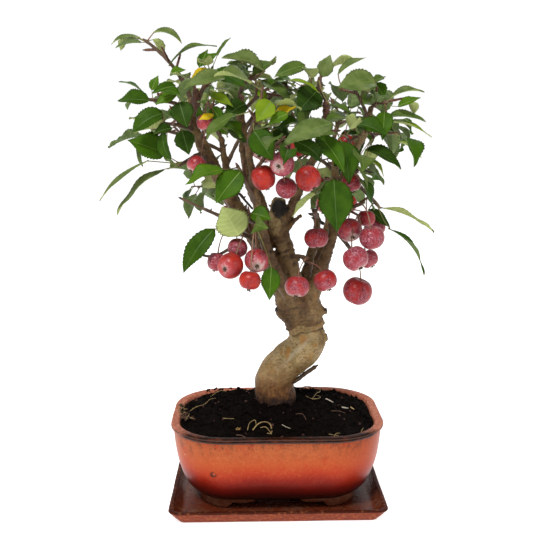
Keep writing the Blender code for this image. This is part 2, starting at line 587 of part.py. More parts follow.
    def grow_leaves(self, crown):
        """Leaves stand round each twig's end by the golden angle and turn their faces to the light."""
        rng = random.Random(self.leaf_seed)
        shares = [1.0] * (len(self.ends) - 1) + [1.5]
        for (root, axis), share in zip(self.ends, shares):
            count = round(self.wanted[1] * share / sum(shares))
            side, top = square_to(axis)
            turn = rng.uniform(0, 2 * math.pi)
            for j in range(count):
                foot = root - axis * (ROOT_SUNK + LEAF_STEP * j)
                for trial in range(9):
                    leaf = self.try_leaf(rng, foot, axis, side, top, turn + GOLDEN * j, j / count)
                    if leaf and self.has_room(leaf, crown):
                        crown.add(leaf.blade(), self.name, "blade")
                        crown.add(tube(leaf.stalk_path(0.6), 3), self.name, "stalk")
                        self.leaves.append(leaf)
                        break

    def try_leaf(self, rng, root, axis, side, top, turn, share):
        """A leaf at the turn asked round the twig, or none where it would stand edge on to the light."""
        a = turn + rng.uniform(-0.35, 0.35)
        lean = math.radians(rng.uniform(*LEAF_LEAN) + 30 * share)
        out = axis * math.cos(lean) + (side * math.cos(a) + top * math.sin(a)) * math.sin(lean)
        out = (out + Vector((0, 0, rng.uniform(-0.25, 0.1) - self.sag))).normalized()
        light = (root - CROWN_HEART).normalized() * 0.8
        light += Vector((rng.uniform(-0.5, 0.5), rng.uniform(-0.5, 0.5), rng.uniform(0.4, 0.9)))
        up = light - out * light.dot(out)
        length = self.leaf_length * rng.uniform(0.72, 1.12)
        stalk, breadth = length * rng.uniform(*LEAF_STALK), length * rng.uniform(*LEAF_BREADTH)
        droop = math.radians(rng.uniform(*LEAF_DROOP))
        if up.length < 0.15:
            return None
        return Leaf(root, out, up.normalized(), root + out * stalk, length, breadth, droop)

    def has_room(self, leaf, crown):
        """True if the leaf keeps to its mass's space and touches nothing."""
        if not all(within(self.stem, leaf.centre(s), self.reach * 1.15) for s in (0.5, 1.0)):
            return False
        stalk = tube([(leaf.root + leaf.out * 0.3, 1.1), (leaf.centre(0), 1.1)], 3)
        return (crown.free(leaf.room(LEAF_ROOM), self.name, ("stalk",))
                and crown.free(stalk, self.name, ("stem", "spur", "stalk")))


def limb_path(name, per_station=2):
    steps = per_station * (len(LIMBS[name]) - 1)
    return [smooth(LIMBS[name], i / steps) for i in range(steps + 1)]


def grow_tree(rows):
    """All the masses, the stems first, so that every mass is sure of its own."""
    crown = Crown()
    for name in LIMBS:
        crown.add(tube(limb_path(name), 8), name, "limb")
    masses = [Mass(*row) for row in rows]
    for mass in masses:
        mass.grow_stem(crown)
    for mass in masses:
        mass.grow_spurs(crown)
    for mass in masses:
        mass.grow_measured(crown, OWN_LEAVES.get(mass.name, ()), OWN_FRUITS.get(mass.name, ()))
    for mass in masses:
        mass.grow_fruit(crown)
    for mass in masses:
        mass.grow_leaves(crown)
    return masses


def material(name, colour, roughness):
    made = bpy.data.materials.new(name)
    made.use_nodes = True
    shader = made.node_tree.nodes["Principled BSDF"]
    shader.inputs["Base Color"].default_value = (*colour, 1)
    shader.inputs["Roughness"].default_value = roughness
    made.diffuse_color = (*colour, 1)
    return made


def collection(name, hidden=False):
    made = bpy.data.collections.new(name)
    made.hide_render = hidden
    bpy.context.scene.collection.children.link(made)
    return made


def mesh_object(name, bm, group, surface=None):
    mesh = bpy.data.meshes.new(name)
    bmesh.ops.recalc_face_normals(bm, faces=bm.faces[:])
    bm.to_mesh(mesh)
    bm.free()
    if surface:
        mesh.materials.append(surface)
    made = bpy.data.objects.new(name, mesh)
    group.objects.link(made)
    return made


def shape_object(name, shape, group, surface=None):
    """An object from points in millimetres and faces."""
    points, faces = shape
    bm = bmesh.new()
    verts = [bm.verts.new(p * MM) for p in points]
    for face in faces:
        bm.faces.new([verts[i] for i in face])
    return mesh_object(name, bm, group, surface)


def remove(objects):
    for obj in list(objects):
        bpy.data.objects.remove(obj, do_unlink=True)


def largest_body(mesh):
    """The mesh without any loose scrap that a Boolean left."""
    bm = bmesh.new()
    bm.from_mesh(mesh)
    left, bodies = set(bm.verts), []
    while left:
        stack, body = [left.pop()], []
        while stack:
            vert = stack.pop()
            body.append(vert)
            for edge in vert.link_edges:
                other = edge.other_vert(vert)
                if other in left:
                    left.remove(other)
                    stack.append(other)
        bodies.append(body)
    bodies.sort(key=len)
    bmesh.ops.delete(bm, geom=[v for body in bodies[:-1] for v in body], context="VERTS")
    bm.to_mesh(mesh)
    bm.free()


def combine(obj, group, operation):
    """Joins the group's objects to obj, or cuts them from it, and applies that."""
    modifier = obj.modifiers.new(operation.title(), "BOOLEAN")
    modifier.operation = operation
    modifier.operand_type = "COLLECTION"
    modifier.collection = group
    bpy.context.view_layer.update()
    made = bpy.data.meshes.new_from_object(obj.evaluated_get(bpy.context.evaluated_depsgraph_get()))
    obj.modifiers.clear()
    old, obj.data = obj.data, made
    bpy.data.meshes.remove(old)
    made.name = obj.name


def rounded_plan(half_x, half_y, corner, z, arc=5):
    """Points round a rectangle with round corners, in millimetres."""
    points = []
    for quarter, (sx, sy) in enumerate(((1, 1), (-1, 1), (-1, -1), (1, -1))):
        for k in range(arc + 1):
            a = math.pi / 2 * (quarter + k / arc)
            points.append(Vector((sx * (half_x - corner) + corner * math.cos(a),
                                  sy * (half_y - corner) + corner * math.sin(a), z)))
    return points


def loft(rings):
    """Points and faces of a closed solid through rings of equal count, flat at both ends."""
    count = len(rings[0])
    points = [p for ring in rings for p in ring]
    faces = [tuple(range(count - 1, -1, -1)), tuple((len(rings) - 1) * count + k for k in range(count))]
    for i in range(len(rings) - 1):
        for k in range(count):
            a, b = i * count + k, i * count + (k + 1) % count
            faces.append((a, b, b + count, a + count))
    return points, faces


def tray(group, glaze):
    inner_foot = TRAY_SLOPE * (1 - TRAY_FLOOR / TRAY_HEIGHT) + TRAY_WALL
    profile = [(TRAY_SLOPE, 0), (0.6, TRAY_HEIGHT - 1.6), (0, TRAY_HEIGHT - 0.8), (0.5, TRAY_HEIGHT),
               (TRAY_WALL - 0.5, TRAY_HEIGHT), (TRAY_WALL, TRAY_HEIGHT - 0.8), (inner_foot, TRAY_FLOOR)]
    rings = []
    for inset, z in profile:
        corner = max(TRAY_CORNER - inset * 0.4, 3)
        rings.append(rounded_plan(TRAY_LENGTH / 2 - inset, TRAY_DEPTH / 2 - inset, corner, z, 4))
    shape_object("tray", loft(rings), group, glaze)


def pot_ring(inset, z):
    return rounded_plan(POT_LENGTH / 2 - inset, POT_DEPTH / 2 - inset, POT_CORNER - inset * 0.72, z)


def pot_inside():
    """Heights on the inner wall from the floor up, and how far it stands in from the rim's edge there."""
    wall = [(z, inset + RIM_WIDTH - 1) for z, inset in POT_WALL[2:-1]]
    return [(POT_FLOOR_Z, FLOOR_INSET)] + wall + [(POT_RIM_Z - 0.9, RIM_WIDTH)]


def foot_gaps(group):
    """Cutters that open the gaps between the feet, each a low arch under a higher one."""
    floor = TRAY_FLOOR - 2
    for along, (ledge, clear) in FOOT_GAP.items():
        reach = POT_LENGTH
        for half, low, high in ((clear, floor, POT_BASE_Z - FOOT_LEDGE), (ledge, floor, POT_BASE_Z - 0.4)):
            bm = bmesh.new()
            bmesh.ops.create_cube(bm, size=1)
            size = (2 * half, reach, high - low) if along == "front" else (reach, 2 * half, high - low)
            bmesh.ops.scale(bm, vec=Vector(size) * MM, verts=bm.verts)
            bmesh.ops.translate(bm, vec=Vector((0, 0, (low + high) / 2)) * MM, verts=bm.verts)
            mesh_object("foot_gap", bm, group)


def pot(group, cutters, glaze):
    """The pot's wall, rim and floor as one loft, on a ring that is cut into four feet."""
    rim = [(POT_RIM_Z - LIP_HEIGHT, 0.4), (POT_RIM_Z - LIP_HEIGHT * 0.6, 0), (POT_RIM_Z - 0.9, 0),
           (POT_RIM_Z, 0.9), (POT_RIM_Z, RIM_WIDTH - 0.9)]
    rings = [pot_ring(inset, z) for z, inset in POT_WALL + rim + pot_inside()[::-1]]
    made = shape_object("pot", loft(rings), group, glaze)
    feet_z = TRAY_FLOOR + CLEAR
    outer, inner = FOOT_INSET, FOOT_INSET + FOOT_WALL
    feet = [pot_ring(outer + 1, feet_z), pot_ring(outer, feet_z + 2), pot_ring(outer, POT_BASE_Z + 3),
            pot_ring(inner, POT_BASE_Z + 3), pot_ring(inner, feet_z)]
    count = len(feet[0])
    points, faces = loft(feet)
    faces = faces[2:]
    for a in range(count):
        b = (a + 1) % count
        faces.append((4 * count + a, 4 * count + b, b, a))
    foot_ring = shape_object("foot_ring", (points, faces), cutters)
    gaps = collection("foot gaps", hidden=True)
    foot_gaps(gaps)
    combine(foot_ring, gaps, "DIFFERENCE")
    remove(gaps.objects)
    bpy.data.collections.remove(gaps)
    joined = collection("feet", hidden=True)
    joined.objects.link(foot_ring)
    cutters.objects.unlink(foot_ring)
    combine(made, joined, "UNION")
    remove(joined.objects)
    bpy.data.collections.remove(joined)


def soil(group, surface, pocket):
    """The pot's filling, mounded round the trunk, with a pocket that the trunk's foot stands in."""
    inside = pot_inside()
    heights = [POT_FLOOR_Z + CLEAR] + [z for z, _ in inside[1:-1]] + [SOIL_EDGE_Z - 2]
    profile = [(z, np.interp(z, *zip(*inside)) + 1.5 * CLEAR) for z in heights]
    rings = [pot_ring(inset, z) for z, inset in profile + [(SOIL_EDGE_Z, RIM_WIDTH + 2)]]
    rng = random.Random(5)
    middle = Vector((*TRUNK_FOOT, 0))
    edge = rings[-1]
    for share in SOIL_RINGS:
        height = SOIL_EDGE_Z + (SOIL_TOP_Z - SOIL_EDGE_Z) * (1 - share) ** 0.6
        ring = []
        for p in edge:
            spot = middle + (Vector((p.x, p.y, 0)) - middle) * share
            ring.append(Vector((spot.x, spot.y, height + rng.uniform(-SOIL_ROUGH, SOIL_ROUGH))))
        rings.append(ring)
    made = shape_object("soil", loft(rings), group, surface)
    combine(made, pocket, "DIFFERENCE")
    largest_body(made.data)


def limb_mesh(name, limb, extra, group, surface=None):
    """A limb as a tapering curve with round section, made a mesh, with extra all round and at both ends."""
    curve = bpy.data.curves.new(name, "CURVE")
    curve.dimensions = "3D"
    curve.bevel_depth = MM
    curve.bevel_resolution = 4 if limb == "trunk" else 2
    curve.use_fill_caps = True
    path = limb_path(limb)
    first, last = path[0], path[-1]
    path[0] = (first[0] - heading(LIMBS[limb], 0) * extra, first[1])
    path[-1] = (last[0] + heading(LIMBS[limb], 1) * extra, last[1])
    spline = curve.splines.new("POLY")
    spline.points.add(len(path) - 1)
    for point, (centre, radius) in zip(spline.points, path):
        point.co = (*(centre * MM), 1)
        point.radius = radius + extra
    guide = bpy.data.objects.new(name + "_curve", curve)
    group.objects.link(guide)
    bpy.context.view_layer.update()
    mesh = bpy.data.meshes.new_from_object(guide.evaluated_get(bpy.context.evaluated_depsgraph_get()))
    bpy.data.objects.remove(guide, do_unlink=True)
    bm = bmesh.new()
    bm.from_mesh(mesh)
    bpy.data.meshes.remove(mesh)
    bmesh.ops.remove_doubles(bm, verts=bm.verts[:], dist=1e-6)
    return mesh_object(name, bm, group, surface)


def cut_flat(obj, z):
    """Cuts the object flat at a height and keeps what is above."""
    bm = bmesh.new()
    bm.from_mesh(obj.data)
    geometry = bm.verts[:] + bm.edges[:] + bm.faces[:]
    plane = {"plane_co": (0, 0, z * MM), "plane_no": (0, 0, 1)}
    cut = bmesh.ops.bisect_plane(bm, geom=geometry, clear_inner=True, **plane)
    edges = [e for e in cut["geom_cut"] if isinstance(e, bmesh.types.BMEdge)]
    bmesh.ops.holes_fill(bm, edges=edges)
    bmesh.ops.recalc_face_normals(bm, faces=bm.faces[:])
    bm.to_mesh(obj.data)
    bm.free()


def add_knots(trunk, extra):
    """The trunk's knots, its pruned stubs and the dead stick by its foot, joined to it."""
    knots = collection("knots", hidden=True)
    for start, end, thick, thin in KNOTS:
        start, end = Vector(start), Vector(end)
        end += (end - start).normalized() * extra
        middle = start.lerp(end, 0.7)
        path = [(start, thick + extra), (middle, (thick + thin) / 2 + extra), (end, thin + extra)]
        shape_object("knot", tube(path, 7), knots)
    combine(trunk, knots, "UNION")
    remove(knots.objects)
    bpy.data.collections.remove(knots)


def trunk_and_boughs(group, cutters, bark):
    """Each limb is cut back from those before it, so that it starts 0.3 mm off the wood that bears it.

    Gives the trunk's room and the collection of all the limbs' rooms, which later pieces are cut from.
    """
    swollen = {name: limb_mesh(name + "_room", name, LIMB_CLEAR, cutters) for name in LIMBS}
    cut_flat(swollen["trunk"], GROUND_Z - CLEAR)
    add_knots(swollen["trunk"], LIMB_CLEAR)
    earlier = collection("earlier limbs", hidden=True)
    for name in LIMBS:
        limb = limb_mesh(name, name, 0, group, bark)
        if name == "trunk":
            cut_flat(limb, GROUND_Z)
            add_knots(limb, 0)
        else:
            combine(limb, earlier, "DIFFERENCE")
            largest_body(limb.data)
        earlier.objects.link(swollen[name])
        limb.data.shade_smooth()
        limb.data.set_sharp_from_angle(angle=math.radians(50))
    return swollen["trunk"], earlier


def mass_object(mass, group, limbs_room, foliage):
    """Stem, spurs, leaves and fruit of one mass joined in one union, and cut clear of the limbs."""
    parts = collection("pieces of " + mass.name, hidden=True)
    made = shape_object(mass.name, tube(mass.stem, 4), group, foliage)
    for spur in mass.spurs:
        shape_object("spur", tube(spur, 3), parts)
    for leaf in mass.leaves:
        for shape in leaf.solids():
            shape_object("leaf", shape, parts)
    for fruit in mass.fruits:
        shape_object("fruit", ball(fruit.centre, fruit.radius), parts)
        shape_object("fruit_stalk", tube(fruit.stalk_path(STALK_RADIUS), 3), parts)
    if parts.objects:
        combine(made, parts, "UNION")
    combine(made, limbs_room, "DIFFERENCE")
    largest_body(made.data)
    remove(parts.objects)
    bpy.data.collections.remove(parts)


def main():
    remove(bpy.data.objects)
    plant = collection("crabapple bonsai")
    cutters = collection("cutters", hidden=True)
    pot_glaze = material("pot_glaze", (0.55, 0.13, 0.04), 0.25)
    tray_glaze = material("tray_glaze", (0.36, 0.08, 0.035), 0.3)
    ground = material("soil", (0.02, 0.014, 0.01), 0.95)
    bark = material("bark", (0.23, 0.15, 0.08), 0.6)
    foliage = material("foliage", (0.06, 0.17, 0.03), 0.45)
    tray(plant, tray_glaze)
    pot(plant, cutters, pot_glaze)
    trunk_room, limbs_room = trunk_and_boughs(plant, cutters, bark)
    pocket = collection("pocket", hidden=True)
    pocket.objects.link(trunk_room)
    soil(plant, ground, pocket)
    for mass in grow_tree(MASSES):
        mass_object(mass, plant, limbs_room, foliage)
    for obj in cutters.objects:
        obj.hide_render = True
        obj.display_type = "WIRE"


main()
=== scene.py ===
"""Looks of the crabapple bonsai: bark, twigs, leaves, fruit, glazed pot, drip tray and soil.

Metres in Blender, +Z up, -Y the front, in the frame's own place. The plant is worked out in millimetres
by the rule that the solids grew by, then carried on to finer twigs and smaller leaves.
"""

import math
import random

import bpy
import numpy as np
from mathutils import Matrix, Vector, kdtree, noise
from mathutils.bvhtree import BVHTree


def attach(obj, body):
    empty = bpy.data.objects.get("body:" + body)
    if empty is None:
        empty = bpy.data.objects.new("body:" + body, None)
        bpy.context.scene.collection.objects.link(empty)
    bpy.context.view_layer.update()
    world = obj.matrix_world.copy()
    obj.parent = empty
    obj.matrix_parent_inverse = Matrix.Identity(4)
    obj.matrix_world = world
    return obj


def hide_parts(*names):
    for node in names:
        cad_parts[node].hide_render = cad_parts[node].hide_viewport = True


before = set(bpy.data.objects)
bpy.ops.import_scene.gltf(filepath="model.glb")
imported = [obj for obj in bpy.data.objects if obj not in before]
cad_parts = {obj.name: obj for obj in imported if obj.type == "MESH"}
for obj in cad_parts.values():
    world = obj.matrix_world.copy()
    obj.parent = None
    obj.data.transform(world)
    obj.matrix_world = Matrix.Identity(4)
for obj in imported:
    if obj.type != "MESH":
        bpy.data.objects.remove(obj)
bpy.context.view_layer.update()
MM = 0.001

# The camera that the photograph was taken from: place in mm, turn toward +X and tilt down in degrees.
CAMERA_PLACE = (-21.72, -750.72, 348.96)
CAMERA_TURN, CAMERA_TILT = 1.652, 10.088
CAMERA_LENS, SENSOR_WIDTH = 52.53, 36.0   # mm

TRAY_LENGTH, TRAY_DEPTH, TRAY_HEIGHT = 200, 150, 13.5
TRAY_CORNER = 9
TRAY_SLOPE = 9.5         # how far each wall leans out from the underside to the rim
TRAY_WALL, TRAY_FLOOR = 4.5, 5

POT_LENGTH, POT_DEPTH, POT_RIM_Z = 200, 150, 82.6
POT_CORNER = 51
RIM_WIDTH, LIP_HEIGHT = 8, 4.0
POT_BASE_Z = 14.5
# Heights on the pot's outer wall, and how far the wall stands in from the rim there.
POT_WALL = [(14.5, 24.5), (19, 18.6), (28, 12.6), (44, 7.0), (62, 3.6), (78.6, 2.2)]
FOOT_INSET, FOOT_WALL, FOOT_LEDGE = 25.5, 12, 3.5
FOOT_GAP = {"front": (22, 46), "side": (12, 27)}   # half the gap between feet: at the ledge, at the floor

SOIL_EDGE_Z, SOIL_TOP_Z = 79.0, 90.5
TRUNK_FOOT = (0, 20)


# The rule that the solids grew by

GOLDEN = math.radians(137.5)
CLEAR = 0.3              # gap between neighbouring solids, mm
NEAR = 0.6               # shapes whose boxes are further apart can't meet
CROWN_HEART = Vector((5, 15, 290))   # leaves face away from here, and up
STEM_RADIUS, SPUR_RADIUS = 2.4, 1.5  # a stem tapers to the radius of its spurs
STEM_PLACES = (0, 1 / 3, 2 / 3, 1)
ROOT_SUNK = 1.5          # how far from a twig's end its first leaf or fruit stalk is rooted
LEAF_STEP, FRUIT_STEP = 1.8, 1.2     # from one root to the next, back along the twig
LEAF_SECTIONS = (0, 0.25, 0.62)      # where the blade's sections stand, as shares of its length
LEAF_KEEL = 1.0          # how deep the keel is under the midrib
LEAF_STALK, LEAF_BREADTH = (0.24, 0.4), (0.5, 0.62)   # as shares of the blade's length
LEAF_STALK_RADIUS, LEAF_STALK_ROOM = 0.6, 1.1         # of the stalk, and of the space kept for it
LEAF_LEAN, LEAF_DROOP = (38, 62), (15, 75)            # angle to the twig, and bend along the blade, degrees
LEAF_ROOM = 0.6          # space kept round a blade
FRUIT_RADIUS, FRUIT_SQUAT = 10.2, 0.94                # and its height over its breadth
FRUIT_STALK, STALK_RADIUS = (17, 34), 0.75
FRUIT_AWAY = (3, 23)     # how far a fruit hangs to the side of its root
FRUIT_GAP = 0.8
BALL_SIDES, BALL_RINGS = 8, 4        # of a fruit's ball in the solids
BUNCH = 4                # fruit to a twig's end
FRUIT_SIZES, LEAF_SIZES = (0.88, 1.08), (0.72, 1.12)  # as shares of the usual radius and length
REACH_SHARE, REACH_MORE = 1.15, 12   # how far a mass's twigs reach: share of its leaf length, and mm more
LEAF_REACH = 1.15        # how far its leaves do, as a share of that
EDGE_ON = 0.15           # a leaf that turns less of its face to the light isn't grown
STEM_TRIALS, SPUR_TRIALS, FRUIT_TRIALS, LEAF_TRIALS = 14, 4, 30, 9   # how often a free place is sought
# Added to a mass's seeds: for its fruit's places, its fine twigs, its blades and its fruit's shapes.
FRUIT_SEED, FINE_SEED, BLADE_SEED, SKIN_SEED = 1000, 500, 9000, 4000
STALK_MEETS = ("stem", "spur", "stalk")               # what a stalk may touch of its own mass
# Where a measured leaf or fruit may be rooted, as shares of each stretch of a stem, and how far back or
# forth it may be moved, mm.
BEARING_SHARES = (0.1, 0.4, 0.7, 0.95)
NUDGES = (0, -4, 4, -8, 8, -12, 12)

# Stations along each limb: x, y, z and radius, all mm.
LIMBS = {
    "trunk": [(1, 20, 74, 21.5), (-1, 20, 96, 19.6), (-1, 19, 110, 19.2), (10, 17, 126, 17.8),
              (25, 14, 140, 18.0), (30, 13, 151, 17.8), (28, 11, 164, 17.2), (24, 11, 181, 20.0),
              (21, 11, 192, 18.0)],
    "leader": [(22, 10, 184, 13), (18, 8, 203, 9.4), (11, 5, 232, 7.8), (2, 3, 261, 8.5), (2, 2, 286, 6.8)],
    "bough_left": [(12, 9, 178, 11), (5, 5, 208, 8.7), (-18, -2, 252, 7.2), (-41, -6, 287, 6.4),
                   (-63, -6, 329, 5.3), (-76, -1, 356, 3.8), (-78, 4, 380, 2.8)],
    "bough_right": [(28, 8, 178, 11), (38, 5, 208, 6.9), (52, -2, 254, 4.4), (58, -2, 286, 4.1),
                    (66, 2, 319, 3.6), (82, 4, 350, 2.8), (87, 4, 372, 2.0)],
    "bough_centre_left": [(2, 6, 246, 6.6), (-20, 20, 292, 6.0), (-28, 27, 324, 5.2), (-32, 33, 355, 4.0),
                          (-36, 34, 380, 2.6)],
    "bough_centre_right": [(4, 3, 252, 5.0), (24, -4, 306, 3.8), (36, 3, 329, 3.5), (45, 8, 355, 2.8),
                           (46, 10, 380, 2.2)],
    "bough_inner_right": [(26, 12, 186, 7.5), (29, 19, 214, 4.9), (40, 27, 256, 3.6), (37, 31, 276, 2.4)],
    "bough_back_left": [(12, 18, 182, 8.5), (-2, 38, 208, 6.2), (-26, 62, 250, 5.0), (-46, 78, 300, 4.0),
                        (-54, 84, 344, 2.6)],
    "bough_back_right": [(24, 20, 180, 8.5), (36, 42, 208, 6.2), (54, 64, 252, 4.8), (62, 76, 300, 3.8),
                         (60, 82, 340, 2.6)],
    "bough_front": [(18, 0, 186, 7.0), (-5, -20, 232, 5.2), (-15, -30, 268, 4.2), (-21, -34, 304, 3.4),
                    (-26, -40, 339, 2.4)],
}


# Each mass of leaves: name, limb, place along the limb, the stem's tip (mm), spurs, leaves, fruit,
# leaf length, how far its leaves sag, and the seeds of its twigs and of its leaves.
MASSES = [
    ("sprig_top_left", "bough_left", 1.0, (-117, 0, 430), 3, 2, 0, 27, 0.0, 1, 22),
    ("shoot_left", "bough_left", 0.92, (-114, -18, 378), 2, 3, 0, 31, 0.05, 1, 14),
    ("tuft_left", "bough_left", 0.8, (-100, -30, 357), 2, 3, 0, 33, 0.15, 1, 16),
    ("droop_left", "bough_left", 0.68, (-86, -16, 321), 0, 0, 0, 56, 0.75, 1, 27),
    ("twig_tip_left", "bough_left", 0.3, (-44, -32, 266), 1, 0, 0, 36, 0.5, 10, 3),
    ("cluster_left_low", "bough_left", 0.42, (-20, -44, 270), 2, 2, 0, 34, 0.4, 140, 7),
    ("fan_left", "bough_left", 0.86, (-58, -16, 404), 3, 4, 0, 36, 0.15, 1, 48),
    ("inner_left", "bough_left", 0.74, (-48, -34, 370), 2, 3, 0, 32, 0.2, 158, 48),
    ("cluster_centre", "bough_front", 0.8, (4, -62, 345), 2, 4, 0, 34, 0.2, 41, 28),
    ("crown_front", "bough_front", 1.0, (-12, -60, 371), 3, 5, 0, 34, 0.15, 122, 30),
    ("leaf_low_front", "bough_front", 0.62, (-35, -52, 321), 1, 1, 0, 38, 0.5, 1, 2),
    ("cluster_low_centre", "leader", 0.5, (27, -32, 238), 1, 0, 0, 32, 0.4, 84, 36),
    ("crown_centre_left", "bough_centre_left", 1.0, (-20, 20, 402), 3, 6, 0, 36, 0.15, 1, 23),
    ("crown_centre", "bough_centre_left", 0.84, (-7, 40, 391), 3, 9, 0, 34, 0.1, 139, 9),
    ("crown_centre_right", "bough_centre_right", 1.0, (31, 4, 391), 3, 5, 0, 34, 0.15, 1, 43),
    ("tuft_centre", "bough_centre_right", 0.66, (28, -34, 353), 2, 3, 0, 42, 0.25, 136, 77),
    ("front_big", "bough_right", 0.55, (42, -42, 310), 1, 0, 0, 46, 0.6, 69, 73),
    ("crown_right", "bough_right", 0.9, (70, -2, 389), 3, 6, 0, 34, 0.15, 1, 59),
    ("tip_right", "bough_right", 1.0, (98, -12, 375), 2, 2, 0, 34, 0.15, 1, 20),
    ("side_right", "bough_right", 0.84, (86, -22, 345), 2, 4, 0, 36, 0.2, 1, 20),
    ("cluster_right_inner", "bough_right", 0.74, (66, -30, 331), 2, 2, 0, 32, 0.3, 77, 27),
    ("droop_right", "bough_right", 0.62, (96, 4, 281), 0, 0, 0, 46, 0.55, 1, 44),
    ("fruit_low_right", "bough_right", 0.36, (76, 2, 231), 0, 0, 0, 30, 0.5, 35, 44),
    ("cluster_right", "bough_right", 0.42, (77, -22, 286), 3, 1, 0, 34, 0.5, 158, 38),
    ("cluster_fork", "bough_inner_right", 0.8, (35, -12, 277), 1, 0, 0, 30, 0.4, 98, 10),
    ("side_left_back", "bough_back_left", 0.9, (-123, 62, 354), 3, 5, 0, 36, 0.1, 1, 47),
    ("side_right_back", "bough_back_right", 0.9, (108, 56, 358), 3, 6, 0, 36, 0.1, 1, 24),
    ("crown_middle", "bough_centre_left", 0.7, (10, 72, 397), 3, 10, 0, 34, 0.1, 1, 37),
    ("back_left_low", "bough_back_left", 0.6, (-72, 104, 304), 3, 9, 2, 36, 0.1, 15, 69),
    ("back_left_top", "bough_back_left", 1.0, (-80, 100, 374), 3, 12, 1, 36, 0.1, 6, 10),
    ("back_centre", "bough_back_left", 0.82, (-12, 112, 379), 3, 12, 2, 36, 0.1, 20, 27),
    ("back_right_top", "bough_back_right", 1.0, (78, 96, 376), 3, 12, 1, 36, 0.1, 2, 46),
    ("back_right_low", "bough_back_right", 0.6, (87, 104, 310), 3, 9, 2, 36, 0.1, 4, 80),
    ("back_middle", "bough_back_right", 0.8, (31, 126, 331), 3, 9, 2, 34, 0.1, 2, 74),
]
# Ways that a leaf's upper face looks.
FRONT, UPRIGHT, FLAT = (0, -0.8, 0.6), (0, -1, 0.2), (0, -0.25, 1)
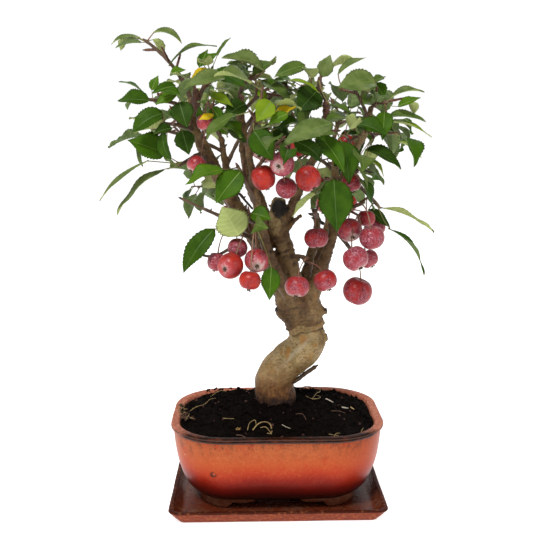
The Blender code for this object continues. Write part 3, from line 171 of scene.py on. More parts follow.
# Leaves measured off the photograph, by mass: the blade's foot and its tip, the way its upper face looks,
# its droop in degrees, its breadth and its tint. The rest of the leaves grow by the rule.
# The olive, sage and pale tints are greyer, paler greens that carry painted sheen of light on leaves that
# face up.
OWN_LEAVES = {
    "sprig_top_left": [
        ((-123, 0, 433), (-148, -4, 427), (0, -0.45, 0.9), 60, 11, "sage"),
        ((-121, 3, 429), (-146, 8, 425), (0, 0.3, 1), 35, 9, "olive"),
        ((-110, -2, 437), (-84, -8, 427), (0.2, -0.5, 0.85), 75, 12, "sage"),
        ((-111, 0, 432), (-102, 2, 417), (0.5, 0.7, 0.5), 20, 12, "lime"),
        ((-97, -2, 408), (-53, -10, 425), (-0.4, -0.3, 0.9), 70, 10, "olive"),
        ((-96, -4, 400), (-81, -10, 404), FRONT, 40, 9, "bright"),
    ],
    "shoot_left": [
        ((-119, -18, 385), (-139, -22, 393), FLAT, 50, 8, "mid"),
        ((-112, -20, 377), (-139, -26, 376), FRONT, 25, 17, "deep"),
        ((-90, -14, 390), (-110, -22, 383), FRONT, 35, 11, "mid"),
        ((-111, -16, 386), (-105, -14, 399), FRONT, 30, 9, "bright"),
        ((-88, -24, 383), (-106, -30, 373), FRONT, 30, 12, "bright"),
    ],
    "tuft_left": [
        ((-100, -28, 366), (-127, -34, 349), FRONT, 60, 19, "deep"),
        ((-92, -28, 353), (-108, -34, 348), FRONT, 35, 10, "dark"),
        ((-85, -30, 375), (-78, -38, 353), UPRIGHT, 30, 20, "dark"),
        ((-84, -26, 351), (-78, -30, 330), UPRIGHT, 25, 18, "dark"),
    ],
    "droop_left": [
        ((-100, -18, 330), (-132, -26, 343), FRONT, 20, 27, "mid"),
        ((-115, -20, 325), (-160, -24, 290), FLAT, 30, 10, "sage"),
        ((-102, -14, 317), (-148, -12, 275), (0, -0.4, 1), 40, 14, "sage"),
    ],
    "leaf_low_front": [
        ((-32, -56, 317), (-54, -62, 290), (0, -0.9, 0.4), 30, 23, "mid"),
    ],
    "twig_tip_left": [
        ((-56, -32, 265), (-85, -38, 225), FRONT, 60, 19, "deep"),
        ((-34, -42, 259), (-49, -46, 286), (0, 1, 0.15), 15, 31, "lime"),
    ],
    "cluster_left_low": [
        ((-24, -46, 280), (-6, -52, 275), FRONT, 30, 17, "mid"),
        ((-6, -46, 233), (-8, -52, 204), UPRIGHT, 15, 17, "mid"),
    ],
    "fan_left": [
        ((-53, -14, 416), (-41, -14, 432), FLAT, 20, 8, "olive"),
        ((-69, -14, 406), (-61, -12, 422), FRONT, 20, 9, "mid"),
        ((-65, -20, 407), (-51, -22, 418), FRONT, 20, 9, "bright"),
        ((-55, -22, 402), (-27, -36, 388), FRONT, 30, 18, "deep"),
        ((-45, -36, 395), (-80, -48, 386), FRONT, 50, 16, "sage"),
        ((-60, -26, 404), (-76, -32, 394), FRONT, 20, 9, "yellow"),
    ],
    "inner_left": [
        ((-28, -36, 374), (-46, -44, 362), FRONT, 25, 19, "dark"),
        ((-59, -36, 382), (-38, -44, 371), FRONT, 30, 10, "lime"),
        ((-57, -36, 371), (-47, -40, 356), UPRIGHT, 25, 11, "mid"),
        ((-55, -40, 364), (-68, -44, 360), FRONT, 20, 7, "yellow"),
    ],
    "crown_centre_left": [
        ((-11, 10, 405), (-50, 0, 416), (0, -0.5, 0.85), 30, 24, "sage"),
        ((-22, 22, 403), (-3, 18, 414), FRONT, 20, 13, "olive"),
    ],
    "crown_front": [
        ((-21, -62, 351), (-5, -68, 326), UPRIGHT, 20, 22, "deep"),
        ((-6, -60, 375), (-19, -66, 358), UPRIGHT, 20, 18, "lime"),
        ((8, -62, 365), (-9, -66, 356), FRONT, 25, 11, "bright"),
    ],
    "tuft_centre": [
        ((47, -52, 357), (0, -74, 337), FRONT, 45, 21, "sage"),
        ((21, -46, 357), (41, -52, 341), FRONT, 30, 15, "mid"),
        ((37, -42, 336), (15, -50, 324), FLAT, 30, 8, "bright"),
    ],
    "crown_centre_right": [
        ((37, -4, 387), (18, -14, 367), UPRIGHT, 20, 25, "dark"),
        ((26, 0, 409), (-3, -8, 398), FRONT, 35, 16, "olive"),
        ((10, -14, 395), (38, -22, 384), FLAT, 45, 9, "lime"),
        ((42, 4, 399), (49, 4, 419), FRONT, 25, 15, "sage"),
        ((46, -18, 374), (71, -26, 359), FLAT, 40, 10, "olive"),
    ],
    "crown_right": [
        ((55, -2, 401), (80, -6, 416), (0, -0.5, 0.9), 30, 11, "sage"),
        ((89, -4, 394), (53, -16, 388), FRONT, 30, 26, "sage"),
        ((90, 0, 394), (98, -4, 379), (0.3, -0.8, 0.5), 40, 13, "mid"),
    ],
    "tip_right": [
        ((102, -12, 380), (132, -16, 385), (0, -0.5, 0.9), 60, 10, "sage"),
        ((108, -16, 372), (128, -20, 380), FRONT, 20, 9, "bright"),
        ((100, -14, 363), (134, -18, 359), (0, -0.5, 0.9), 40, 14, "olive"),
        ((101, -18, 359), (138, -24, 345), FLAT, 40, 8, "lime"),
    ],
    "side_right": [
        ((71, -26, 357), (96, -34, 347), FRONT, 35, 17, "deep"),
        ((108, -20, 341), (130, -22, 327), FLAT, 50, 7, "lime"),
        ((79, -24, 334), (110, -34, 317), (0.1, -0.6, 0.8), 45, 18, "dark"),
        ((80, -20, 325), (96, -22, 310), FLAT, 70, 9, "lime"),
        ((70, -22, 321), (81, -26, 298), (0.6, -0.4, 0.5), 40, 9, "sage"),
    ],
    "cluster_right_inner": [
        ((64, -34, 339), (49, -40, 320), UPRIGHT, 25, 22, "dark"),
    ],
    "front_big": [
        ((48, -46, 310), (51, -50, 264), UPRIGHT, 12, 30, "deep"),
        ((34, -38, 297), (12, -42, 276), (0, 0.6, 0.8), 20, 9, "sage"),
    ],
    "droop_right": [
        ((98, 4, 280), (148, -2, 257), (0, 0.3, 1), 35, 10, "sage"),
        ((105, 0, 261), (140, -4, 217), (0.5, -0.1, 0.9), 55, 9, "deep"),
        ((87, 10, 278), (108, 4, 260), FRONT, 20, 11, "dark"),
    ],
}
# Fruit measured off it likewise: the middle, the radius, the way to the calyx, height over breadth, skin.
OWN_FRUITS = {
    "inner_left": [
        ((-63, -22, 358), 7.8, (0.1, -0.2, -1), 1, "crimson"),
        ((-72, -22, 321), 9, (-0.6, -0.3, -0.7), 1, "crimson"),
    ],
    "twig_tip_left": [
        ((-55, -33, 235), 8.8, (-0.2, -0.1, -1), 1.12, "rose"),
        ((-42, -50, 234), 11.8, (-0.5, -0.85, -0.15), 1, "red"),
        ((-36, -34, 247), 9.4, (0, 0.2, -1), 1, "rose"),
    ],
    "cluster_left_low": [
        ((-19, -46, 238), 11, (0.05, -0.9, -0.4), 1, "crimson"),
        ((-25, -57, 223), 9.8, (-0.15, -0.15, -1), 0.95, "red"),
    ],
    "cluster_centre": [
        ((-13, -50, 311), 11.2, (0.35, 0.1, -1), 1.12, "red"),
        ((3, -57, 323), 10.6, (-0.4, -0.9, -0.2), 1, "rose"),
        ((7, -50, 302), 9.5, (0.2, 0.6, -0.8), 1, "rose"),
        ((25, -54, 311), 11.5, (0.5, -0.3, -0.8), 1.12, "red"),
        ((16, -48, 337), 9, (-0.9, -0.5, 0), 1.1, "red"),
    ],
    "cluster_low_centre": [
        ((17, -44, 214), 11.4, (-0.1, -0.35, -0.93), 0.92, "crimson"),
        ((44, -25, 216), 10.8, (0.4, -0.25, -0.9), 1, "crimson"),
    ],
    "cluster_fork": [
        ((36, -16, 254), 11.2, (0.1, -0.2, -1), 0.95, "crimson"),
    ],
    "cluster_right": [
        ((66, -22, 262), 11, (0.2, -0.7, -0.65), 1, "crimson"),
        ((84, -34, 257), 11.4, (0.2, 0.1, -1), 1, "rose"),
        ((69, -31, 239), 11.7, (0.45, -0.35, -0.85), 1, "rose"),
        ((85, -13, 234), 9.2, (0.5, -0.2, -0.85), 1, "rose"),
        ((83, -11, 271), 8.4, (0, 0, -1), 1, "crimson"),
        ((95, 6, 260), 9.6, (0.5, 0, -0.8), 1, "rose"),
    ],
    "fruit_low_right": [
        ((77, 0, 201), 14.2, (-0.35, 0.1, -0.95), 1, "crimson"),
    ],
    "cluster_right_inner": [
        ((68, -8, 304), 9.4, (0.3, -0.1, -0.9), 1, "crimson"),
    ],
}

# Knots, pruned stubs and the dead stick on the trunk: from, to, and the radius at each end, mm.
KNOTS = [
    ((30, 8, 176), (48, 4, 182), 7.5, 2.6),
    ((36, 8, 150), (48, 6, 156), 8.0, 4.5),
    ((12, 8, 176), (0, 4, 183), 6.5, 2.4),
    ((10, 17, 108), (36, 12, 127), 2.2, 1.3),
]


def smooth(stations, t):
    """A curve through the stations, t from 0 to 1: the point and the radius there."""
    last = len(stations) - 1
    place = min(max(t, 0.0), 1.0) * last
    i = min(int(place), last - 1)
    f = place - i
    p0, p1, p2, p3 = (np.array(stations[min(max(k, 0), last)], float) for k in (i - 1, i, i + 1, i + 2))
    q = 2 * p1 + (p2 - p0) * f
    q += (2 * p0 - 5 * p1 + 4 * p2 - p3) * f ** 2 + (3 * p1 - 3 * p2 + p3 - p0) * f ** 3
    return Vector(q[:3] / 2), float(q[3] / 2)


def heading(stations, t):
    """The way the curve runs at t."""
    before, _ = smooth(stations, max(t - 0.01, 0))
    after, _ = smooth(stations, min(t + 0.01, 1))
    return (after - before).normalized()


def square_to(axis):
    """Two unit vectors square to the axis, the second as near upright as it can be."""
    side = axis.cross(Vector((0, 0, 1)))
    if side.length < 1e-3:
        side = axis.cross(Vector((1, 0, 0)))
    side.normalize()
    return side, side.cross(axis).normalized()


def bent(start, middle, end, t):
    return start * (1 - t) ** 2 + middle * (2 * t * (1 - t)) + end * t * t


def turned(side, top, a):
    """The unit vector at an angle from side toward top."""
    return side * math.cos(a) + top * math.sin(a)


def tube(path, sides):
    """Points and faces of a closed tube along (point, radius) pairs."""
    points = []
    n = len(path)
    u, _ = square_to((path[1][0] - path[0][0]).normalized())
    for i, (centre, radius) in enumerate(path):
        axis = (path[min(i + 1, n - 1)][0] - path[max(i - 1, 0)][0]).normalized()
        u = (u - axis * u.dot(axis)).normalized()
        v = axis.cross(u)
        for k in range(sides):
            points.append(centre + turned(u, v, 2 * math.pi * k / sides) * radius)
    return points, tube_faces(n, sides)


def tube_faces(rings, sides, ends=True):
    """Faces round rings of points, with a flat face at each end."""
    faces = []
    for i in range(rings - 1):
        for k in range(sides):
            a, b = i * sides + k, i * sides + (k + 1) % sides
            faces.append((a, b, b + sides, a + sides))
    if ends:
        faces.append(tuple(range(sides - 1, -1, -1)))
        faces.append(tuple((rings - 1) * sides + k for k in range(sides)))
    return faces


def ball(centre, radius):
    """Points and faces of a fruit's squat ball."""
    pole = Vector((0, 0, radius * FRUIT_SQUAT))
    points = [centre + pole]
    for i in range(1, BALL_RINGS):
        a = math.pi * i / BALL_RINGS
        for k in range(BALL_SIDES):
            b = 2 * math.pi * k / BALL_SIDES
            spot = Vector((math.sin(a) * math.cos(b), math.sin(a) * math.sin(b), FRUIT_SQUAT * math.cos(a)))
            points.append(centre + spot * radius)
    points.append(centre - pole)
    ahead = [(k, (k + 1) % BALL_SIDES) for k in range(BALL_SIDES)]
    faces = [(0, 1 + a, 1 + b) for a, b in ahead]
    for start in range(1, 1 + (BALL_RINGS - 2) * BALL_SIDES, BALL_SIDES):
        below = start + BALL_SIDES
        faces += [(start + a, below + a, below + b, start + b) for a, b in ahead]
    end = len(points) - 1
    return points, faces + [(end - BALL_SIDES + a, end, end - BALL_SIDES + b) for a, b in ahead]


def half_breadth(s):
    """Half breadth of a blade at s along it, as a share of its greatest half breadth."""
    return math.sin(math.pi * s ** 0.8) ** 0.85 if 0 < s < 1 else 0.0


class Leaf:
    """A leaf on its stalk: out along the midrib, up off its upper face, drooping in an arc."""

    def __init__(self, root, out, up, foot, length, breadth, droop):
        self.root, self.out, self.up, self.side = root, out, up, out.cross(up)
        self.foot, self.length, self.breadth, self.droop = foot, length, breadth, droop
        self.tint = None

    def centre(self, s):
        """A point on the midrib, from the blade's foot at 0 to its tip at 1."""
        bend = self.droop * s
        return (self.foot + self.out * (self.length * math.sin(bend) / self.droop)
                - self.up * (self.length * (1 - math.cos(bend)) / self.droop))

    def normal(self, s):
        return self.out * math.sin(self.droop * s) + self.up * math.cos(self.droop * s)

    def blade(self):
        """Points and faces of the blade: left edge, right edge and keel at three places, then the tip."""
        points = []
        for s in LEAF_SECTIONS:
            half = self.half_breadth_at(s)
            points += [self.centre(s) - self.side * half, self.centre(s) + self.side * half,
                       self.centre(s) - self.normal(s) * LEAF_KEEL]
        return points + [self.centre(1)], closed_fan(3, 3)

    def room(self, margin):
        """Points and faces of the space to keep free for the blade, square in section."""
        points = []
        for s in LEAF_SECTIONS:
            half = self.half_breadth_at(s) + margin
            top, under = self.normal(s) * margin, self.normal(s) * -(LEAF_KEEL + margin * 0.5)
            points += [self.centre(s) - self.side * half + top, self.centre(s) + self.side * half + top,
                       self.centre(s) + self.side * half + under, self.centre(s) - self.side * half + under]
        return points + [self.centre(1.03)], closed_fan(3, 4)

    def half_breadth_at(self, s):
        return max(self.breadth / 2 * half_breadth(s), 0.5)

    def stalk_path(self, radius):
        """From the twig to a point well inside the blade's foot."""
        return [(self.root, radius), (self.centre(0.05) - self.normal(0.05) * LEAF_KEEL / 2, radius)]


def closed_fan(rings, sides):
    """Faces of rings of the same number of corners, closed by a point at the far end."""
    faces = [tuple(range(sides))]
    for i in range(rings - 1):
        for k in range(sides):
            a, b = sides * i + k, sides * i + (k + 1) % sides
            faces.append((b, a, a + sides, b + sides))
    last = sides * (rings - 1)
    return faces + [(last + (k + 1) % sides, last + k, last + sides) for k in range(sides)]


def measured_leaf(root, foot, tip, face, droop, breadth):
    """A leaf from its blade's foot to its tip, its upper face turned as near to face as it can be."""
    foot, span = Vector(foot), Vector(tip) - Vector(foot)
    bend = math.radians(droop)
    ahead, down = math.sin(bend) / bend, (1 - math.cos(bend)) / bend
    reach = math.hypot(ahead, down)
    along = span.normalized()
    square = Vector(face) - along * Vector(face).dot(along)
    square.normalize()
    out = (along * ahead + square * down) / reach
    up = (square * ahead - along * down) / reach
    return Leaf(root, out, up, foot, span.length / reach, breadth, bend)


class Fruit:
    """A fruit hanging on its stalk."""

    def __init__(self, root, middle, centre, radius):
        self.root, self.middle, self.centre, self.radius = root, middle, centre, radius
        self.pose = None

    def stalk_path(self, radius):
        top = self.centre + Vector((0, 0, self.radius * 0.5))
        return [(bent(self.root, self.middle, top, t), radius) for t in (0, 0.5, 1)]


def box(points, margin=0.0):
    """The points' lowest and highest coordinates, a margin further out."""
    lows = [min(values) - margin for values in zip(*points)]
    return lows, [max(values) + margin for values in zip(*points)]


class Crown:
    """What stands in the crown so far, so that nothing is grown through anything else."""

    def __init__(self):
        self.held, self.fruits = [], []

    def add(self, shape, owner, kind):
        self.held.append((BVHTree.FromPolygons(*shape), *box(shape[0]), owner, kind))

    def free(self, shape, owner="", kinds=()):
        """True if the shape meets nothing but the kinds named of its own mass."""
        low, high = box(shape[0], NEAR)
        tree = None
        for other, a, b, whose, kind in self.held:
            if whose == owner and kind in kinds or any(low[i] > b[i] or high[i] < a[i] for i in range(3)):
                continue
            tree = tree or BVHTree.FromPolygons(*shape)
            if tree.overlap(other):
                return False
        return True


def within(path, spot, reach):
    """True if the spot lies within reach of the stem."""
    for (a, _), (b, _) in zip(path, path[1:]):
        along = b - a
        t = max(0.0, min(1.0, (spot - a).dot(along) / along.length_squared))
        if (spot - a - along * t).length < reach:
            return True
    return False


class Mass:
    """One mass of leaves: a stem off a limb, spurs off the stem, fruit and leaves off the spurs."""

    def __init__(self, name, limb, t, tip, spurs, leaves, fruits, leaf_length, sag, twig_seed, leaf_seed):
        self.name, self.limb, self.t, self.tip = name, limb, t, Vector(tip)
        self.spur_count, self.leaf_count, self.fruit_count = spurs, leaves, fruits
        self.leaf_length, self.sag = leaf_length, sag
        self.reach = REACH_SHARE * leaf_length + REACH_MORE
        self.twig_seed, self.leaf_seed = twig_seed, leaf_seed
        self.spurs, self.ends, self.leaves, self.fruits = [], [], [], []
        self.fine, self.small = [], []

    def along_stem(self, u):
        return bent(*self.bow, u)

    def grow_stem(self, crown):
        """The stem leaves its limb and bends to its tip, swung aside where another limb or stem stands."""
        base, limb_radius = smooth(LIMBS[self.limb], self.t)
        along = heading(LIMBS[self.limb], self.t)
        at_end = self.t == 1
        thick = limb_radius * 0.85 if at_end else min(limb_radius * 0.6, STEM_RADIUS)
        start = base - along * (2.0 if at_end else 0.0)
        span = self.tip - base
        share = 0.6 if at_end else 0.2
        straight = base + (along * share + span.normalized() * (1 - share)) * span.length * 0.5
        side, top = square_to(span.normalized())
        clear_of_limb = min((limb_radius + 1.5) / span.length, 0.6)
        for trial in range(STEM_TRIALS):
            swing = span.length * 0.07 * math.ceil(trial / 4)
            self.bow = start, straight + turned(side, top, GOLDEN * trial) * swing, self.tip
            self.stem = [(self.along_stem(u), thick + (SPUR_RADIUS - thick) * u ** 0.8) for u in STEM_PLACES]
            asked = [(self.along_stem(clear_of_limb + (1 - clear_of_limb) * u), radius + 2 * CLEAR)
                     for u, (_, radius) in zip(STEM_PLACES, self.stem)]
            if crown.free(tube(asked, 4), self.limb, ("limb",)):
                break
        crown.add(tube(self.stem, 4), self.name, "stem")

    def grow_spurs(self, crown):
        rng = random.Random(self.twig_seed)
        turn = rng.uniform(0, 2 * math.pi)
        room = SPUR_RADIUS + 2 * CLEAR
        for i in range(self.spur_count):
            u = 0.35 + 0.55 * (i + 0.5) / self.spur_count + rng.uniform(-0.05, 0.05)
            foot = self.along_stem(u)
            axis = (self.along_stem(u + 0.02) - foot).normalized()
            side, top = square_to(axis)
            for trial in range(SPUR_TRIALS):
                a = turn + GOLDEN * i + rng.uniform(-0.5, 0.5) + trial * 1.1
                way = axis * 0.55 + side * math.cos(a) + top * math.sin(a) + Vector((0, 0, 0.3))
                way.normalize()
                end = foot + way * (rng.uniform(0.25, 0.5) * self.reach)
                asked = tube([(foot + way * 2 * SPUR_RADIUS, room), (end, room)], 3)
                if within(self.stem, end, self.reach) and crown.free(asked, self.name, ("stem",)):
                    self.spurs.append([(foot, SPUR_RADIUS), (end, SPUR_RADIUS)])
                    crown.add(tube(self.spurs[-1], 3), self.name, "spur")
                    self.ends.append((end, way))
                    break
        self.ends.append((self.stem[-1][0], (self.stem[-1][0] - self.stem[-2][0]).normalized()))

    def bearers(self, spot):
        """Places on the stem and the spurs that can bear a leaf or fruit, the nearest to the spot first."""
        joints = [point for point, _ in self.stem[1:]]
        places = [a.lerp(b, share) for a, b in zip(joints, joints[1:]) for share in BEARING_SHARES]
        places += [end - way * ROOT_SUNK for end, way in self.ends[:-1]]
        return sorted(places, key=lambda place: (place - spot).length)

    def grow_measured(self, crown):
        """The fruit and leaves measured off the photograph, moved a little to or fro if they have to be."""
        for place, radius, *fruit_pose in OWN_FRUITS.get(self.name, ()):
            for fruit in self.fruit_choices(place, radius):
                if self.hang(fruit, crown):
                    fruit.pose = fruit_pose
                    break
        for foot, tip, face, droop, breadth, tint in OWN_LEAVES.get(self.name, ()):
            for leaf in self.leaf_choices(foot, tip, face, droop, breadth):
                if self.fits(leaf, leaf.root.lerp(leaf.foot, 0.1), crown):
                    leaf.tint = tint
                    self.bear(leaf, crown)
                    break

    def fruit_choices(self, place, radius):
        x, y, z = place
        for nudge in NUDGES:
            centre = Vector((x, y + nudge, z))
            for root in self.bearers(centre + Vector((0, 0, radius + 8))):
                away = Vector((centre.x - root.x, centre.y - root.y, 0)) * 0.7
                yield Fruit(root, root + away + Vector((0, 0, 1)), centre, radius)

    def leaf_choices(self, foot, tip, face, droop, breadth):
        for nudge in NUDGES:
            aside = Vector((0, nudge, 0))
            for root in self.bearers(Vector(foot) + aside):
                yield measured_leaf(root, Vector(foot) + aside, Vector(tip) + aside, face, droop, breadth)

    def hang(self, fruit, crown):
        """Adds the fruit and says so, unless it would touch something."""
        centre, radius = fruit.centre, fruit.radius
        if any((centre - f.centre).length < radius + f.radius + FRUIT_GAP for f in crown.fruits):
            return False
        if not crown.free(ball(centre, radius + 2 * CLEAR)):
            return False
        if not crown.free(tube(fruit.stalk_path(STALK_RADIUS + 2 * CLEAR), 3), self.name, STALK_MEETS):
            return False
        crown.add(ball(centre, radius), self.name, "fruit")
        crown.add(tube(fruit.stalk_path(STALK_RADIUS), 3), self.name, "stalk")
        crown.fruits.append(fruit)
        self.fruits.append(fruit)
        return True

    def grow_fruit(self, crown):
        """Fruit hang in a bunch from each twig's end, none nearer to another than they may be."""
        rng = random.Random(self.twig_seed + FRUIT_SEED)
        for j in range(self.fruit_count):
            root, axis = self.ends[(j // BUNCH) % len(self.ends)]
            for trial in range(FRUIT_TRIALS):
                a = rng.uniform(0, 2 * math.pi)
                radius = FRUIT_RADIUS * rng.uniform(*FRUIT_SIZES)
                stalk = rng.uniform(*FRUIT_STALK)
                away = rng.uniform(*FRUIT_AWAY)
                drop = math.sqrt(max(stalk ** 2 - away ** 2, 64)) + radius * 0.5
                out = Vector((math.cos(a), math.sin(a), 0))
                centre = root + out * away - Vector((0, 0, drop))
                foot = root - axis * (ROOT_SUNK + FRUIT_STEP * (j % BUNCH))
                if self.hang(Fruit(foot, root + out * away * 0.7 + Vector((0, 0, 1)), centre, radius), crown):
                    break

    def grow_leaves(self, crown):
        """Leaves stand round each twig's end by the golden angle and turn their faces to the light."""
        rng = random.Random(self.leaf_seed)
        shares = [1.0] * (len(self.ends) - 1) + [1.5]
        for (root, axis), share in zip(self.ends, shares):
            count = round(self.leaf_count * share / sum(shares))
            side, top = square_to(axis)
            turn = rng.uniform(0, 2 * math.pi)
            for j in range(count):
                foot = root - axis * (ROOT_SUNK + LEAF_STEP * j)
                for trial in range(LEAF_TRIALS):
                    leaf = self.try_leaf(rng, foot, axis, side, top, turn + GOLDEN * j, j / count)
                    if leaf and self.has_room(leaf, crown):
                        self.bear(leaf, crown)
                        break

    def try_leaf(self, rng, root, axis, side, top, turn, share):
        """A leaf at the turn asked round the twig, or none where it would stand edge on to the light."""
        a = turn + rng.uniform(-0.35, 0.35)
        lean = math.radians(rng.uniform(*LEAF_LEAN) + 30 * share)
        out = axis * math.cos(lean) + turned(side, top, a) * math.sin(lean)
        out = (out + Vector((0, 0, rng.uniform(-0.25, 0.1) - self.sag))).normalized()
        light = (root - CROWN_HEART).normalized() * 0.8
        light += Vector((rng.uniform(-0.5, 0.5), rng.uniform(-0.5, 0.5), rng.uniform(0.4, 0.9)))
        up = light - out * light.dot(out)
        length = self.leaf_length * rng.uniform(*LEAF_SIZES)
        stalk, breadth = length * rng.uniform(*LEAF_STALK), length * rng.uniform(*LEAF_BREADTH)
        droop = math.radians(rng.uniform(*LEAF_DROOP))
        if up.length < EDGE_ON:
            return None
        return Leaf(root, out, up.normalized(), root + out * stalk, length, breadth, droop)

    def has_room(self, leaf, crown):
        """True if the leaf keeps to its mass's space and touches nothing."""
        inside = all(within(self.stem, leaf.centre(s), self.reach * LEAF_REACH) for s in (0.5, 1.0))
        return inside and self.fits(leaf, leaf.root + leaf.out * 0.3, crown)

    def fits(self, leaf, stalk_start, crown):
        """True if neither the leaf nor its stalk, from stalk_start on, touches anything."""
        stalk = tube([(stalk_start, LEAF_STALK_ROOM), (leaf.centre(0), LEAF_STALK_ROOM)], 3)
        return (crown.free(leaf.room(LEAF_ROOM), self.name, ("stalk",))
                and crown.free(stalk, self.name, STALK_MEETS))

    def bear(self, leaf, crown):
        crown.add(leaf.blade(), self.name, "blade")
        crown.add(tube(leaf.stalk_path(LEAF_STALK_RADIUS), 3), self.name, "stalk")
        self.leaves.append(leaf)


def limb_path(name, per_stretch=2):
    steps = per_stretch * (len(LIMBS[name]) - 1)
    return [smooth(LIMBS[name], i / steps) for i in range(steps + 1)]


def grow_tree(crown):
    """All the masses, the stems first, so that every mass is sure of its own."""
    for name in LIMBS:
        crown.add(tube(limb_path(name), 8), name, "limb")
    masses = [Mass(*row) for row in MASSES]
    for grow in (Mass.grow_stem, Mass.grow_spurs, Mass.grow_measured, Mass.grow_fruit, Mass.grow_leaves):
        for mass in masses:
            grow(mass, crown)
    return masses


# Fine growth, on from the solids' own rule

FINE_SHARE = 0.3         # finer twigs for each leaf that a mass was asked for
FINE_LENGTH, FINE_RADIUS = (6, 15), 0.75
FINE_LEAVES, FINE_TRIALS = (2, 3), 7
SMALL_LEAF = 0.74        # of the mass's leaf length
# Masses where the photograph shows sky between the measured leaves.
OPEN_MASSES = ("droop_left", "droop_right", "leaf_low_front", "twig_tip_left", "front_big",
               "cluster_low_centre", "fruit_low_right", "cluster_fork", "cluster_right", "cluster_left_low",
               "sprig_top_left")


def grow_fine(mass, crown):
    """Finer twigs off the stem and the spurs, each with a few small leaves, within the mass's reach."""
    if mass.name in OPEN_MASSES:
        return
    rng = random.Random(mass.leaf_seed + FINE_SEED)
    bearers = [(a, b) for (a, _), (b, _) in [*zip(mass.stem[1:], mass.stem[2:]), *mass.spurs]]
    full, mass.leaf_length = mass.leaf_length, mass.leaf_length * SMALL_LEAF
    for i in range(round(mass.leaf_count * FINE_SHARE)):
        a, b = rng.choice(bearers)
        foot = a.lerp(b, rng.uniform(0.15, 0.95))
        axis = (b - a).normalized()
        side, top = square_to(axis)
        turn = rng.uniform(0, 2 * math.pi)
        way = axis * 0.5 + side * math.cos(turn) + top * math.sin(turn) + Vector((0, 0, 0.35))
        way.normalize()
        end = foot + way * rng.uniform(*FINE_LENGTH)
        asked = tube([(foot + way * 2, FINE_RADIUS + CLEAR), (end, FINE_RADIUS + CLEAR)], 3)
        if not within(mass.stem, end, mass.reach) or not crown.free(asked, mass.name, ("stem", "spur")):
            continue
        grown = []
        side, top = square_to(way)
        for j in range(rng.randint(*FINE_LEAVES)):
            for trial in range(FINE_TRIALS):
                leaf = mass.try_leaf(rng, end - way * 1.2 * j, way, side, top, turn + GOLDEN * j, 0.5)
                if leaf and mass.has_room(leaf, crown):
                    crown.add(leaf.blade(), mass.name, "blade")
                    grown.append(leaf)
                    break
        if grown:
            crown.add(asked, mass.name, "spur")
            mass.fine.append((foot, end, way))
            mass.small.append(grown)
    mass.leaf_length = full


# Meshes

def mesh_of(name, points, faces):
    mesh = bpy.data.meshes.new(name)
    mesh.from_pydata(points, [], faces)
    return mesh


def put_in_scene(name, data):
    made = bpy.data.objects.new(name, data)
    bpy.context.scene.collection.objects.link(made)
    return made


def dress(name, mesh, surfaces, nodes):
    """An object of the mesh, with its surfaces, riding on the one body and standing for the nodes."""
    for surface in surfaces:
        mesh.materials.append(surface)
    obj = put_in_scene(name, mesh)
    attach(obj, "root")
    if nodes:
        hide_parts(*nodes)


class Piece:
    """Shapes of one kind, gathered into one mesh: points in millimetres, faces, each face's surface."""

    def __init__(self, name, surfaces):
        self.name, self.surfaces = name, list(surfaces.values())
        self.slot_of = {kind: i for i, kind in enumerate(surfaces)}
        self.points, self.faces, self.slots, self.tones, self.count = [], [], [], [], 0

    def add(self, shape, surface, tone=0.0):
        """surface is a name for all the faces or a list of one for each, tone a number for the points."""
        points, faces = shape
        points = np.asarray(points, float).reshape(-1, 3)
        self.points.append(points)
        self.faces += [tuple(i + self.count for i in face) for face in faces]
        names = [surface] * len(faces) if isinstance(surface, str) else surface
        self.slots += [self.slot_of[name] for name in names]
        self.tones.append(np.broadcast_to(np.asarray(tone, float), len(points)))
        self.count += len(points)

    def build(self, nodes=()):
        mesh = mesh_of(self.name, np.concatenate(self.points) * MM, self.faces)
        mesh.polygons.foreach_set("material_index", self.slots)
        tone = mesh.attributes.new("tone", "FLOAT", "POINT")
        tone.data.foreach_set("value", np.concatenate(self.tones).astype(np.float32))
        mesh.shade_smooth()
        dress(self.name, mesh, self.surfaces, nodes)


def pipe(path, radii, sides, closed_tips=True):
    """Points and faces of a closed tube with rounded tips along a path in millimetres."""
    path = np.array([tuple(p) for p in path], float)
    radii = np.broadcast_to(np.asarray(radii, float), len(path)).copy()
    if closed_tips:
        ways = path[[1, -1]] - path[[0, -2]]
        ways /= np.linalg.norm(ways, axis=1, keepdims=True)
        tips = path[[0, -1]] + ways * [[-0.5 * radii[0]], [0.5 * radii[-1]]]
        path = np.concatenate([tips[:1], path, tips[1:]])
        radii = np.concatenate([[radii[0] * 0.6], radii, [radii[-1] * 0.6]])
    ways = np.gradient(path, axis=0)
    ways /= np.linalg.norm(ways, axis=1, keepdims=True)
    u = np.cross(ways[0], (0.0, 0.0, 1.0) if abs(ways[0][2]) < 0.9 else (1.0, 0.0, 0.0))
    angles = np.arange(sides) * 2 * math.pi / sides
    rings = []
    for centre, way, radius in zip(path, ways, radii):
        u = u - way * (u @ way)
        u /= np.linalg.norm(u)
        v = np.cross(way, u)
        rings.append(centre + radius * (np.outer(np.cos(angles), u) + np.outer(np.sin(angles), v)))
    return np.concatenate(rings), tube_faces(len(path), sides)


def curve_points(stations, steps):
    """Points along a smooth curve through a few points, mm."""
    stations = [(*p, 0.0) for p in stations]
    return [smooth(stations, i / steps)[0] for i in range(steps + 1)]


def relief(points, size, depth, seed):
    """Smooth noise for each point: size of its lumps and its depth, mm."""
    shift = Vector((seed * 7.31, seed * 3.17, seed * 5.03))
    return np.array([noise.noise(Vector(p) / size + shift) for p in points]) * depth


# Materials

